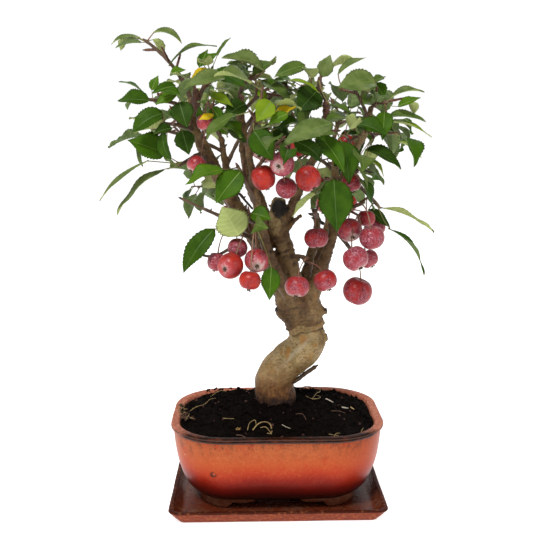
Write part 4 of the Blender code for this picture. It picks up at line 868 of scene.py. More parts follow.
class Paint:
    """One material: nodes are added by kind, with inputs that are values or other nodes' outputs."""

    def __init__(self, name, roughness, specular):
        self.material = bpy.data.materials.new(name)
        self.material.use_nodes = True
        self.tree = self.material.node_tree
        self.shader = self.tree.nodes["Principled BSDF"]
        self.set("Roughness", roughness)
        self.set("Specular IOR Level", specular)

    def put(self, socket, value):
        if isinstance(value, bpy.types.NodeSocket):
            self.tree.links.new(value, socket)
        elif socket.type == "RGBA":
            socket.default_value = (*value, 1)
        else:
            socket.default_value = value

    def set(self, name, value):
        self.put(self.shader.inputs[name], value)

    def node(self, kind, inputs=(), **settings):
        made = self.tree.nodes.new("ShaderNode" + kind)
        for key, value in settings.items():
            setattr(made, key, value)
        for key, value in dict(inputs).items():
            self.put(made.inputs[key], value)
        return made

    def finished(self, colour, height, depth):
        """The material, with its colour and with relief of a depth in mm from a height between 0 and 1."""
        inputs = {"Height": height, "Distance": depth * MM, "Strength": 1.0}
        self.set("Base Color", colour)
        self.set("Normal", self.node("Bump", inputs).outputs["Normal"])
        return self.material

    def place(self, stretch=(1, 1, 1)):
        """The point on the object, stretched along each axis."""
        spot = self.node("TexCoord").outputs["Object"]
        return self.node("Mapping", {"Vector": spot, "Scale": stretch}).outputs["Vector"]

    def along(self, axis):
        """The place along an axis of the frame, mm."""
        spot = self.node("TexCoord").outputs["Object"]
        return self.times(self.node("SeparateXYZ", {"Vector": spot}).outputs[axis], 1 / MM)

    def noise(self, size, detail, rough=0.5, stretch=(1, 1, 1)):
        """Noise with lumps of a size in mm, from 0 to 1."""
        inputs = {"Vector": self.place(stretch), "Scale": 1 / (size * MM)}
        inputs |= {"Detail": detail, "Roughness": rough}
        return self.node("TexNoise", inputs).outputs["Fac"]

    def cells(self, size):
        """Distance from the middles of cells of a size in mm."""
        inputs = {"Vector": self.place(), "Scale": 1 / (size * MM)}
        return self.node("TexVoronoi", inputs).outputs["Distance"]

    def tone(self, name):
        """A number that the mesh carries at each point."""
        return self.node("Attribute", attribute_name=name).outputs["Fac"]

    def math(self, operation, a, b=0.0):
        made = self.node("Math", operation=operation)
        self.put(made.inputs[0], a)
        self.put(made.inputs[1], b)
        return made.outputs[0]

    def plus(self, a, b):
        return self.math("ADD", a, b)

    def times(self, first, *others):
        for other in others:
            first = self.math("MULTIPLY", first, other)
        return first

    def drift(self, noise, amount):
        """Noise to either side of nothing."""
        return self.times(self.math("SUBTRACT", noise, 0.5), amount)

    def span(self, value, low, high):
        """0 at low, 1 at high, and held beyond them."""
        return self.node("MapRange", {"Value": value, "From Min": low, "From Max": high}).outputs["Result"]

    def mix(self, share, a, b):
        made = self.node("Mix", data_type="RGBA")
        for index, value in ((0, share), (6, a), (7, b)):
            self.put(made.inputs[index], value)
        return made.outputs[2]

    def blend(self, value, low, high, a, b):
        """Colour a up to where the value is low, b from where it is high, and a mix between."""
        return self.mix(self.span(value, low, high), a, b)

    def ramp(self, value, stops):
        made = self.node("ValToRGB", {"Fac": value})
        stops_there = made.color_ramp.elements
        while len(stops_there) < len(stops):
            stops_there.new(0.5)
        for stop, (place, colour) in zip(stops_there, stops):
            stop.position, stop.color = place, (*colour, 1)
        return made.outputs["Color"]

    def spot(self, place, reach):
        """1 within reach of a place, both in mm, with a ragged edge."""
        inputs = {0: self.node("TexCoord").outputs["Object"], 1: tuple(value * MM for value in place)}
        away = self.node("VectorMath", inputs, operation="DISTANCE").outputs["Value"]
        ragged = self.drift(self.noise(1.2, 3), reach * 0.9)
        return self.span(self.plus(self.times(away, 1 / MM), ragged), reach, reach * 0.7)

    def highlight_streak(self):
        """A painted highlight: the pale band of light down the front of the trunk's slanting part, 1 along
        its middle.
        """
        x, y, z = (self.along(axis) for axis in "XYZ")
        aside = self.math("SUBTRACT", x, self.plus(self.times(z, 0.9), -109.5))
        across = self.span(self.math("ABSOLUTE", self.plus(aside, self.drift(self.noise(6, 4), 9))), 3.4, 0.8)
        ends = self.times(self.span(z, 122, 134), self.span(z, 160, 152))
        return self.times(across, ends, self.span(y, 6, 2))


def leaf_surface(name, colour, dark, roughness=0.45, specular=0.05):
    """A blade's face: its colour, and a darker one in patches."""
    paint = Paint(name, roughness, specular)
    return paint.finished(paint.blend(paint.noise(9, 3), 0.35, 0.7, colour, dark), paint.cells(1.1), 0.12)


def plain_surface(name, colour, other, size, roughness=0.6):
    """Two colours in patches of a size in mm, with a fine relief."""
    paint = Paint(name, roughness, 0.4)
    patches = paint.blend(paint.noise(size, 4), 0.35, 0.65, colour, other)
    return paint.finished(patches, paint.noise(size * 0.3, 4), 0.1)


def bark_surface():
    """Mottled tan bark, reddish brown by the soil, orange in patches, a painted highlight down the front,
    painted shade at the fork and in the hollows, black where cut.
    """
    paint = Paint("bark", 0.5, 0.2)
    z = paint.along("Z")
    low = paint.plus(z, paint.drift(paint.noise(9, 4, 0.6), 34))
    tan, wrinkled, hollow, dead = (paint.tone(name) for name in ("tan", "wrinkled", "hollow", "dead"))
    flecks = paint.noise(2.2, 5, 0.75, (0.7, 0.7, 1.2))
    stains = paint.noise(9, 3, 0.6, (1.2, 1.2, 0.8))
    pale = paint.blend(paint.noise(11, 5, 0.65), 0.38, 0.62, (0.4, 0.29, 0.14), (0.24, 0.17, 0.065))
    flecked = paint.blend(flecks, 0.5, 0.62, pale, (0.15, 0.085, 0.032))
    ochre = paint.blend(stains, 0.54, 0.68, flecked, (0.3, 0.15, 0.04))
    fissured = paint.blend(paint.noise(2.4, 5, 0.75), 0.42, 0.6, (0.27, 0.175, 0.07), (0.115, 0.062, 0.021))
    rough = paint.mix(paint.times(wrinkled, 0.65), ochre, fissured)
    # A painted highlight: pale light down the front of the smooth trunk.
    sheen = paint.mix(paint.times(paint.highlight_streak(), 0.5), rough, (0.42, 0.36, 0.24))
    # Painted shade among the boughs at the fork, between these heights.
    fork = paint.times(paint.span(low, 192, 216), paint.span(low, 270, 245), 0.7)
    shaded = paint.mix(fork, sheen, (0.1, 0.05, 0.018))
    mottled = paint.blend(paint.noise(2.6, 5, 0.75), 0.42, 0.6, (0.2, 0.085, 0.026), (0.075, 0.03, 0.012))
    red = paint.blend(low, 134, 102, shaded, mottled)
    foot = paint.blend(low, 102, 92, red, (0.02, 0.009, 0.006))
    # Dark brown of the boughs: partly their own bark, partly painted shade under the crown.
    brown = paint.blend(paint.noise(5, 5, 0.65), 0.42, 0.66, (0.105, 0.052, 0.019), (0.034, 0.016, 0.007))
    skin = paint.mix(paint.math("SUBTRACT", 1.0, tan), foot, brown)
    # Painted shade in the bark's hollows, from how deep each point lies, and deeper above the fork.
    depth = paint.plus(0.55, paint.times(paint.span(z, 190, 225), 0.45))
    hollow_shaded = paint.mix(paint.times(hollow, depth), skin, (0.028, 0.015, 0.009))
    colour = paint.mix(dead, hollow_shaded, (0.011, 0.008, 0.006))
    return paint.finished(colour, paint.noise(1.5, 5, 0.65, (0.6, 0.6, 1.3)), 0.45)


# Colours up the pot's wall, by share of its height.
WALL_COLOURS = [(0.0, (0.012, 0.004, 0.003)), (0.13, (0.03, 0.003, 0.002)), (0.27, (0.09, 0.004, 0.002)),
                (0.4, (0.21, 0.010, 0.003)), (0.52, (0.34, 0.032, 0.008)), (0.66, (0.38, 0.066, 0.016)),
                (0.84, (0.36, 0.082, 0.024)), (1.0, (0.27, 0.06, 0.02))]
# A pit and a chip in the pot's glaze: place and reach in mm, and colour.
CHIPS = [((-59, -67.3, 46.6), 3.4, (0.05, 0.012, 0.006)), ((-58.2, -67.4, 47.2), 1.9, (0.3, 0.055, 0.018)),
         ((-85.8, -54.5, 60.6), 1.5, (0.5, 0.24, 0.15))]


def glaze_surface():
    """The pot's wall: near black at the foot, deep red, bright orange, speckled brown at the lip."""
    paint = Paint("pot_glaze", 0.34, 0.12)
    z = paint.along("Z")
    level = paint.span(paint.plus(z, paint.drift(paint.noise(34, 2, 0.45), 11)), 14, 80)
    upper, high, top = paint.span(z, 30, 62), paint.span(z, 50, 76), paint.span(z, 58, 76)
    speckle = paint.span(paint.noise(2.6, 5, 0.72), 0.5, 0.72)
    red = paint.span(paint.noise(13, 4, 0.65, (1, 1, 0.8)), 0.52, 0.7)
    right = paint.span(paint.along("X"), 25, 95)
    specks = paint.span(paint.noise(1.5, 4, 0.75, (1, 1, 0.6)), 0.53, 0.65)
    streaks = paint.span(paint.noise(8, 6, 0.72, (1, 1, 0.7)), 0.5, 0.66)
    wall = paint.ramp(level, WALL_COLOURS)
    for patches, where, share, colour in (
            (speckle, upper, 0.5, (0.46, 0.14, 0.045)), (red, upper, 0.65, (0.36, 0.028, 0.008)),
            (right, upper, 0.5, (0.33, 0.03, 0.006)), (specks, high, 0.8, (0.1, 0.024, 0.010)),
            (streaks, top, 0.7, (0.075, 0.02, 0.009))):
        wall = paint.mix(paint.times(patches, where, share), wall, colour)
    for place, reach, colour in CHIPS:
        wall = paint.mix(paint.spot(place, reach), wall, colour)
    return paint.finished(wall, paint.noise(1.2, 3), 0.08)


def rim_surface():
    """The pot's rim: glaze worn to a pinkish brown round the sides and back, nearly black along the front."""
    paint = Paint("pot_rim", 0.42, 0.05)
    worn = paint.blend(paint.noise(3.2, 5, 0.7), 0.42, 0.64, (0.3, 0.085, 0.045), (0.5, 0.19, 0.12))
    thin = paint.noise(4, 5, 0.7, (0.4, 1, 1))
    dark = paint.blend(thin, 0.46, 0.66, (0.010, 0.003, 0.001), (0.09, 0.018, 0.005))
    ahead = paint.plus(paint.along("Y"), paint.drift(paint.noise(12, 4), 26))
    base = paint.blend(ahead, -46, -64, worn, dark)
    colour = paint.blend(paint.noise(1.4, 4, 0.7), 0.6, 0.68, base, (0.04, 0.012, 0.007))
    return paint.finished(colour, paint.noise(1.5, 4), 0.2)


def worn_surface(name, colour, worn, dark, worn_share=0.55, roughness=0.4, size=6, specular=0.05):
    """Glaze worn through in patches, dark where it is thin."""
    paint = Paint(name, roughness, specular)
    base = paint.blend(paint.noise(size, 5, 0.65), worn_share - 0.08, worn_share + 0.1, colour, worn)
    spotted = paint.blend(paint.noise(size * 0.36, 4, 0.7), 0.56, 0.66, base, dark)
    return paint.finished(spotted, paint.noise(1.5, 4), 0.16)


def soil_surface():
    paint = Paint("soil", 0.98, 0.05)
    earth = paint.blend(paint.noise(3, 5, 0.7), 0.48, 0.78, (0.0022, 0.0014, 0.0011), (0.010, 0.005, 0.003))
    colour = paint.blend(paint.noise(1.6, 3, 0.6), 0.68, 0.74, earth, (0.022, 0.007, 0.004))
    return paint.finished(colour, paint.noise(0.9, 5, 0.7), 0.9)


def fruit_surface(name, skin, deep, bloom, paling):
    """Skin mottled with a whitish bloom and speckles, white round the calyx from a share of its length on."""
    paint = Paint(name, 0.32, 0.2)
    paint.set("Subsurface Weight", 0.04)
    paint.set("Subsurface Radius", (0.004, 0.0015, 0.001))
    place = paint.plus(paint.tone("tone"), paint.drift(paint.noise(4, 6, 0.75), 0.5))
    base = paint.blend(paint.noise(7, 5, 0.65), 0.42, 0.6, skin, deep)
    veil = paint.times(paint.span(paint.noise(7, 5, 0.7), 0.38, 0.58),
                       paint.span(paint.noise(1.8, 5, 0.8), 0.44, 0.6))
    blush, white = paint.span(place, paling, paling + 0.24), paint.span(place, paling + 0.18, paling + 0.32)
    dots = paint.span(paint.cells(1.2), 0.15, 0.07)
    colour = base
    for where, share, over in ((veil, bloom, (0.52, 0.22, 0.27)), (blush, 0.6, (0.42, 0.1, 0.12)),
                               (white, 0.85, (0.55, 0.42, 0.38)), (dots, 0.45, (0.5, 0.26, 0.26))):
        colour = paint.mix(paint.times(where, share), colour, over)
    return paint.finished(colour, paint.noise(2.2, 4), 0.2)


# Wood

BARK_VOXEL, BARK_SMOOTHING = 0.97, 5
SHRINK = 0.25            # what smoothing takes off a limb's radius, mm
# The crease across the front of the trunk, where the wrinkled bark of its bend starts: height at x, mm.
CREASE_Z, CREASE_SLOPE, CREASE_X = 161.3, 0.18, 26.0
# Pruned stumps that grow out of the limbs: points along each in mm, and the radius at each end.
STUMPS = [
    ([(-34, -8, 276), (-40, -11, 286), (-43, -12, 293)], 6.4, 6.0),
    ([(-1, 5, 244), (-9, 6, 256), (-17, 6, 271)], 3.6, 2.3),
    ([(8, 0, 260), (15, -6, 268), (22.4, -8, 274.3)], 3.6, 1.9),
    ([(12, 2, 226), (19, 1, 230), (21.5, 1, 234)], 2.4, 1.7),
    ([(54, -2, 262), (60, -6, 268), (63, -8, 272)], 1.8, 1.2),
]
# Cut ends and dead bark: middle and reach, mm.
DEAD_SPOTS = [((2.5, -6, 281), 9.5), ((3.5, -11, 272), 6.5), ((-2, -10, 274), 5.5), ((50, 4, 184), 5),
              ((-2, 4, 184), 4), ((50, 6, 157), 4.5), ((37, 29, 280), 4), ((-18, 6, 273), 4),
              ((-43, -12, 296), 7), ((24, -9, 276), 3), ((22, 1, 235), 4), ((37, 12, 127), 3),
              ((64, -8, 273), 2.5), ((45, 6, 165), 3.5)]
# Pale, mid and dark limbs: how much of the trunk's tan each has; the dark brown of the rest is partly the
# boughs' own bark and partly painted shade under the crown.
TAN = {"trunk": 1.0, "leader": 0.85, "bough_right": 0.4, "bough_inner_right": 0.4, "bough_front": 0.2}
TAN_ELSEWHERE = 0.15
TAN_STEPS = 25           # places along each limb that pass on its tan
# A ring round the leader, where a bud's scales fell: height and slope.
RING_Z, RING_SLOPE = 238.0, 0.35
LIMB_STEPS = 10          # to each stretch between two stations
TRUNK_SIDES, LIMB_SIDES, STUMP_SIDES = 28, 16, 12
NODE_SWELL, NODE_SHARPNESS = 0.1, 60   # of the swellings along a limb


def limb_skin():
    """The trunk and all its limbs as overlapping tubes, swollen at their nodes, with knots and stumps."""
    shapes = []
    rng = random.Random(3)
    for name, stations in LIMBS.items():
        path = limb_path(name, LIMB_STEPS)
        nodes = [rng.uniform(0, 1) for _ in range(len(stations) * 2)]
        radii = []
        for i, (_, radius) in enumerate(path):
            swell = sum(math.exp(-((i / (len(path) - 1) - t) * NODE_SHARPNESS) ** 2) for t in nodes)
            radii.append(radius + SHRINK + (0.0 if name == "trunk" else NODE_SWELL * radius * swell))
        shapes.append(pipe([p for p, _ in path], radii, TRUNK_SIDES if name == "trunk" else LIMB_SIDES))
    for start, end, thick, thin in KNOTS:
        start, end = Vector(start), Vector(end)
        shapes.append(pipe([start, start.lerp(end, 0.7), end], [thick, (thick + thin) / 2, thin], LIMB_SIDES))
    for stations, thick, thin in STUMPS:
        shapes.append(pipe(curve_points(stations, 8), np.linspace(thick, thin, 9), STUMP_SIDES))
    faces, count = [], 0
    for points, own in shapes:
        faces += [tuple(i + count for i in face) for face in own]
        count += len(points)
    return np.concatenate([points for points, _ in shapes]), faces


def bark(surface):
    """One skin over the trunk and boughs, remeshed so that the joints flow, with the bark's relief."""
    points, faces = limb_skin()
    raw = put_in_scene("limbs", mesh_of("limbs", points * MM, faces))
    remesh = raw.modifiers.new("Remesh", "REMESH")
    remesh.mode = "VOXEL"
    remesh.voxel_size = BARK_VOXEL * MM
    soften = raw.modifiers.new("Soften", "SMOOTH")
    soften.factor, soften.iterations = 0.5, BARK_SMOOTHING
    bpy.context.view_layer.update()
    made = bpy.data.meshes.new_from_object(raw.evaluated_get(bpy.context.evaluated_depsgraph_get()))
    bpy.data.objects.remove(raw, do_unlink=True)
    made.name = "bark"
    count = len(made.vertices)
    spots, normals = np.empty(count * 3, np.float32), np.empty(count * 3, np.float32)
    made.vertices.foreach_get("co", spots)
    made.vertex_normals.foreach_get("vector", normals)
    spots, normals = spots.reshape(-1, 3).astype(float) / MM, normals.reshape(-1, 3).astype(float)
    height, tones = bark_relief(spots)
    tones["tan"] = tan_share(spots)
    spots += normals * height[:, None]
    made.vertices.foreach_set("co", (spots * MM).astype(np.float32).ravel())
    for name, values in tones.items():
        made.attributes.new(name, "FLOAT", "POINT").data.foreach_set("value", values.astype(np.float32))
    made.shade_smooth()
    dress("bark", made, [surface], list(LIMBS))


def held(values):
    return np.clip(values, 0, 1)


def ridge(away, width):
    """1 on a line and falling off to both sides of it."""
    return np.exp(-(away / width) ** 2)


def bark_relief(spots):
    """How far each point of the skin stands out, mm, and its tones: wrinkled, hollow (how deep it lies, for
    painted shade) and dead, 0 to 1.
    """
    x, y, z = spots.T
    above = z - (CREASE_Z + CREASE_SLOPE * (x - CREASE_X) + relief(spots, 7, 2.6, 3))
    wrinkled = held(above / 3) * held((200 - z) / 14)
    flank = held((x - 37) / 4) * held((z - 142) / 6) * held((188 - z) / 8)
    trunk = held((206 - z) / 16)
    smooth_part = held(1 - wrinkled - flank)
    wrinkles = relief(spots * (0.9, 0.9, 1.7), 3.1, 1.3, 4) + relief(spots * (1.2, 1.2, 1), 1.5, 0.5, 9)
    fine = wrinkled * wrinkles
    fine += flank * relief(spots * (1.7, 1.7, 0.45), 3.4, 1.6, 7)
    fine += smooth_part * trunk * relief(spots * (0.5, 0.5, 1.6), 1.7, 0.24, 5)
    fine += (1 - trunk) * (relief(spots * (1, 1, 1.5), 2.6, 0.65, 6) + relief(spots, 6, 0.9, 8))
    lip = ridge(above - 2.6, 1.8) - 1.5 * ridge(above + 0.3, 1.1)
    fine += 0.9 * lip * held((z - 140) / 8)
    ring = z - RING_Z - RING_SLOPE * (x - 10)
    near = held((18 - np.hypot(x - 9, y - 5)) / 4)
    fine += near * (0.9 * ridge(ring, 1.1) - 0.6 * ridge(ring - 2.2, 0.9))
    lumps = relief(spots, 16, 1.3, 1) * np.clip((210 - z) / 40, 0.25, 1)
    lumps = lumps + relief(spots * (1, 1, 0.6), 5, 0.45, 2)
    dead = np.zeros(len(spots))
    for place, reach in DEAD_SPOTS:
        away = np.linalg.norm(spots - place, axis=1) + relief(spots, 4, 1.2, 12)
        dead = np.maximum(dead, held((reach - away) / (0.22 * reach)))
    fine -= 0.8 * dead
    return lumps + fine, {"wrinkled": np.maximum(wrinkled, flank), "hollow": held(-fine / 0.9), "dead": dead}


def tan_share(spots):
    """How tan each point is, from the limb that it is on."""
    stations = [(smooth(path, i / (TAN_STEPS - 1))[0], TAN.get(name, TAN_ELSEWHERE))
                for name, path in LIMBS.items() for i in range(TAN_STEPS)]
    tree = kdtree.KDTree(len(stations))
    for i, (place, _) in enumerate(stations):
        tree.insert(place, i)
    tree.balance()
    nearest = np.array([stations[tree.find(spot)[1]][1] for spot in spots])
    return held(nearest + relief(spots, 12, 0.35, 14))

# Twigs

BUD_LENGTH, BUD_RADIUS = 3.4, 1.0
BUDS_ON_LIMBS = 70
STEM_POINTS, SPUR_POINTS = 19, 9
BARE_STEPS, RINGED_STEPS = 16, 30
BUD_AT = 9               # the step of a bare twig that bears a bud
# Bare twigs and ringed fruiting spurs: points along each in mm, radius at each end, and surface.
BARE_TWIGS = [
    ([(-38, -8, 271), (-49, -12, 273), (-67, -14, 281), (-86, -16, 290)], 1.9, 1.2, "twig_old"),
    ([(-34, -22, 252), (-50, -27, 242), (-63, -30, 239.5), (-74, -30, 244)], 1.5, 1.2, "twig_old"),
    ([(-41, -6, 292), (-35, -4, 294), (-29, -1, 287), (-24, 3, 281)], 1.7, 0.9, "twig_dead"),
    ([(10, 17, 107), (18, 10, 109), (28, 10, 116.5), (38, 10, 123.5)], 2.2, 1.9, "twig_old"),
    ([(37, 4, 332), (30, 14, 345), (20, 22, 358), (14, 25, 366)], 1.7, 2.0, "twig_old"),
    ([(44, 4, 265), (42, 12, 266), (43, 18, 264)], 1.6, 1.0, "twig_dead"),
    ([(66, 2, 315), (76, -8, 316), (84, -10, 314)], 1.3, 0.9, "twig_dead"),
]
RINGED_SPURS = [
    ([(14, 25, 364), (11, 26, 374), (9.5, 28, 384), (8, 29, 394)], 3.0, 4.4),
    ([(45, 8, 356), (46, 4, 366), (45, 2, 376)], 2.6, 3.2),
    ([(-34, 2, 366), (-33, -2, 374), (-32, -4, 382)], 2.2, 3.0),
    ([(-74, -6, 372), (-73, -10, 379), (-72, -12, 387)], 2.4, 3.1),
]


def bud(foot, way, size=1.0):
    """A pointed bud."""
    shape = [(0.0, 0.7), (0.35, 1.0), (0.7, 0.65), (1.0, 0.12)]
    path = [foot + way * (BUD_LENGTH * size * along) for along, _ in shape]
    return pipe(path, [BUD_RADIUS * size * wide for _, wide in shape], 6, closed_tips=False)


def twigs(masses, surfaces):
    """Stems and spurs of every mass, with buds at their ends, and small pruned buds along the limbs."""
    piece = Piece("twigs", surfaces)
    young, old, green, dead = "twig_young", "twig_old", "twig_green", "twig_dead"
    rng = random.Random(21)
    for mass in masses:
        radii = [radius for _, radius in mass.stem]
        path = [mass.along_stem(u) for u in np.linspace(0, 1, STEM_POINTS)]
        wide = np.interp(np.linspace(0, 3, STEM_POINTS), range(4), radii)
        wide = wide * [rng.uniform(0.88, 1.16) for _ in path]
        piece.add(pipe(path, wide, 9), old)
        for (foot, _), (end, _) in mass.spurs:
            shares = np.linspace(0, 1, SPUR_POINTS)
            wide = [SPUR_RADIUS * (0.95 - 0.25 * t) * rng.uniform(0.86, 1.16) for t in shares]
            piece.add(pipe([foot.lerp(end, t) for t in shares], wide, 8), young)
        for end, way in mass.ends:
            piece.add(bud(end, way, rng.uniform(0.8, 1.3)), young)
        for foot, end, way in mass.fine:
            side, _ = square_to(way)
            middle = foot.lerp(end, 0.5) + side * rng.uniform(-1, 1)
            path = [bent(foot, middle, end, t) for t in (0, 0.25, 0.5, 0.75, 1)]
            piece.add(pipe(path, np.linspace(0.95, 0.65, 5), 6), rng.choice((young, green)))
            piece.add(bud(end, way, rng.uniform(0.5, 0.8)), young)
    for stations, thick, thin, kind in BARE_TWIGS:
        path = curve_points(stations, BARE_STEPS)
        wide = np.linspace(thick, thin, BARE_STEPS + 1) * [rng.uniform(0.88, 1.15) for _ in path]
        piece.add(pipe(path, wide, 9), kind)
        piece.add(bud(path[-1], (path[-1] - path[-2]).normalized(), 1.2), dead)
        piece.add(bud(path[BUD_AT], square_to((path[BUD_AT + 1] - path[BUD_AT]).normalized())[1]), dead)
    for stations, thick, thin in RINGED_SPURS:
        path = curve_points(stations, RINGED_STEPS)
        shares = [i / RINGED_STEPS for i in range(RINGED_STEPS + 1)]
        wide = [np.interp(t, (0, 0.3, 0.9, 1), (thick, thin, thin, thin * 0.7)) for t in shares]
        wide = [r * (1.08 if i % 3 == 0 else 0.93) * rng.uniform(0.96, 1.04) for i, r in enumerate(wide)]
        piece.add(pipe(path, wide, 12), young)
    for i in range(BUDS_ON_LIMBS):
        name = rng.choice([n for n in LIMBS if n != "trunk"])
        t = rng.uniform(0.25, 0.98)
        centre, radius = smooth(LIMBS[name], t)
        axis = heading(LIMBS[name], t)
        way = turned(*square_to(axis), rng.uniform(0, 2 * math.pi)) + axis * 0.6
        way.normalize()
        piece.add(bud(centre + way * (radius * 0.8), way, rng.uniform(0.8, 1.9)), rng.choice((young, old)))
    piece.build()


# Leaves

RIB_WIDTH = 0.42         # half breadth of the midrib at the blade's foot, mm
BLADE_THICK = 0.36
VEIN_SHARE = 0.011       # a side vein's breadth along the blade, as a share of its length
VEIN_SLANT = 0.2         # how far a vein's end lies ahead of its root, likewise
TEETH = 0.06             # depth of the margin's teeth, as a share of the half breadth
TIP_DRAWN = 0.45         # how much the blade is drawn in towards its tip
VEINS_FROM, VEINS_SPAN = 0.07, 0.78  # where the side veins start, and the stretch that they share
VEIN_EDGE, TOOTH_EDGE = (0.6, 1.0), (-0.6, 0.8)   # how far the margin stands out at veins and teeth


def leaf_rows(veins, teeth):
    """Places along the blade, and for each row whether the strip after it is a vein and how far the
    margin stands out there."""
    rows = [(0.0, False, 0.0)]
    step = VEINS_SPAN / (veins - 1)
    for k in range(veins):
        at = VEINS_FROM + VEINS_SPAN * k / (veins - 1)
        rows += [(at - VEIN_SHARE / 2, True, VEIN_EDGE[0]), (at + VEIN_SHARE / 2, False, VEIN_EDGE[1])]
        rows += [(at + step * (j + 1) / (2 * teeth), False, TOOTH_EDGE[j % 2]) for j in range(2 * teeth - 1)]
    places, strips, edge = zip(*rows, (1.0, False, 0.0))
    return np.array(places) / max(places), strips, np.array(edge)


LEAF_ROWS = {"full": leaf_rows(7, 2), "small": leaf_rows(5, 1)}
LEAF_COLUMNS = np.array([-1.0, -0.8, -0.45, 0.0, 0.0, 0.45, 0.8, 1.0])
RIB_SIDES = (3, 4)       # the columns beside the midrib


def blade_mesh(leaf, rng, kind, calm=1.0):
    """Points, faces and each face's part of a thin closed blade with veins, waves and a toothed margin.

    Parts: 0 upper face, 1 upper veins, 2 upper midrib, 3 underside, 4 veins of the underside.
    """
    rows, strips, edge = LEAF_ROWS[kind]
    fold = math.tan(math.radians(rng.uniform(7, 30)))
    wave, waves = rng.uniform(0.03, 0.08) * leaf.length * calm, rng.uniform(1.0, 2.0)
    phases = rng.uniform(0, 2 * math.pi), rng.uniform(0, 2 * math.pi)
    curl = rng.uniform(-0.02, 0.1) * leaf.length * calm
    twist = rng.uniform(-0.35, 0.35) * calm
    tops, unders = [], []
    for i, s in enumerate(rows):
        for j, u in enumerate(LEAF_COLUMNS):
            across = abs(u)
            ahead = s + VEIN_SLANT * across * (s * (1 - s)) ** 0.7 * 1.6 * (1 - s * 0.4)
            ahead = min(ahead, 1.0)
            half = leaf.breadth / 2 * blade_half(ahead)
            out = half * u
            if j in RIB_SIDES:
                out = (RIB_WIDTH * (1 - 0.75 * s)) * (-1 if j == RIB_SIDES[0] else 1)
                out = max(-half, min(half, out))
            if j in (0, len(LEAF_COLUMNS) - 1):
                out *= 1 + TEETH * edge[i]
            rise = fold * abs(out) + wave * across ** 2 * math.sin(waves * 2 * math.pi * s + phases[u > 0])
            rise -= curl * s ** 3
            puff = 0.0 if strips[i] or strips[i - 1] and i else 0.22
            rise += puff * math.sin(math.pi * min(across, 1)) * (1 - s * 0.5)
            side = leaf.side * math.cos(twist * s) + leaf.normal(ahead) * math.sin(twist * s)
            spot = leaf.centre(ahead) + side * out + leaf.normal(ahead) * rise
            thick = BLADE_THICK * (1 - 0.4 * across) + (0.5 * (1 - s) if j in RIB_SIDES else 0.0)
            thick += 0.15 if strips[i] and across < 1 else 0.0
            tops.append(spot)
            unders.append(spot - leaf.normal(ahead) * thick)
    return stitch_blade(tops, unders, strips, len(rows))


def blade_half(s):
    """Half breadth of a full oval blade with a short drawn-out tip."""
    if not 0 < s < 1:
        return 0.02
    return max(math.sin(math.pi * s ** 0.8) ** 0.82 * (1 - TIP_DRAWN * held((s - 0.55) / 0.45)), 0.02)


def stitch_blade(tops, unders, strips, count):
    """Joins upper and lower points into one closed skin: the margin, the foot and the tip are shared."""
    across = len(LEAF_COLUMNS)
    points = list(tops)
    below = list(range(len(tops)))
    for i in range(1, count - 1):
        for j in range(1, across - 1):
            below[i * across + j] = len(points)
            points.append(unders[i * across + j])
    faces, parts = [], []
    for i in range(count - 1):
        for j in range(across - 1):
            a, b = i * across + j, i * across + j + 1
            c, d = b + across, a + across
            rib = j == RIB_SIDES[0]
            faces.append((a, b, c, d))
            parts.append(2 if rib else 1 if strips[i] else 0)
            under = (below[d], below[c], below[b], below[a])
            faces.append(under)
            parts.append(4 if rib or strips[i] else 3)
    return points, faces, parts


# Leaf colours: the surfaces of the upper face, its side veins, its midrib, the underside and its veins.
TINTS = {
    "dark": "leaf_dark leaf_deep rib_dark leaf_under vein_under",
    "deep": "leaf_deep leaf_deep rib_dark leaf_under vein_under",
    "mid": "leaf_mid leaf_mid rib_light leaf_under vein_under",
    "bright": "leaf_bright leaf_bright rib_light leaf_under_pale vein_under_pale",
    "lime": "leaf_lime leaf_lime rib_light leaf_under_pale vein_under_pale",
    "olive": "leaf_olive leaf_olive rib_light leaf_under vein_under",
    "sage": "leaf_sage leaf_sage rib_light leaf_under_pale vein_under_pale",
    "pale": "leaf_pale leaf_pale rib_pale leaf_under_pale vein_under_pale",
    "yellow": "leaf_yellow rib_yellow rib_yellow leaf_yellow rib_yellow",
}
SPRAY_TINTS = ["dark"] * 6 + ["deep"] * 8 + ["mid"] * 6 + ["olive"] * 3 + ["bright"] * 2 + ["lime"]
# Leaves high in the crown whose faces turn up to the sky get paler, greyer tints: painted sheen of the light
# from above.
SHEEN_TINTS = ["olive"] * 6 + ["sage"] * 7 + ["pale"] * 2 + ["mid"] * 3 + ["deep"] * 2 + ["bright"] * 2
SHORT = 27               # a measured leaf up to this length has fewer veins and teeth
CALM = 0.35              # how much of the usual waves and twist a measured leaf has
# A leaf gets one of the paler tints of painted sheen when its face rises at least this much and its foot
# stands at least this high.
SKYWARD = 0.62           # least rise of an open leaf's face
OPEN_HEIGHT = 320        # and least height of its foot, mm
IN_STEP = 0.6            # share of a spray's leaves that have its own tint
FADED = 0.02             # share of the small leaves that are yellow
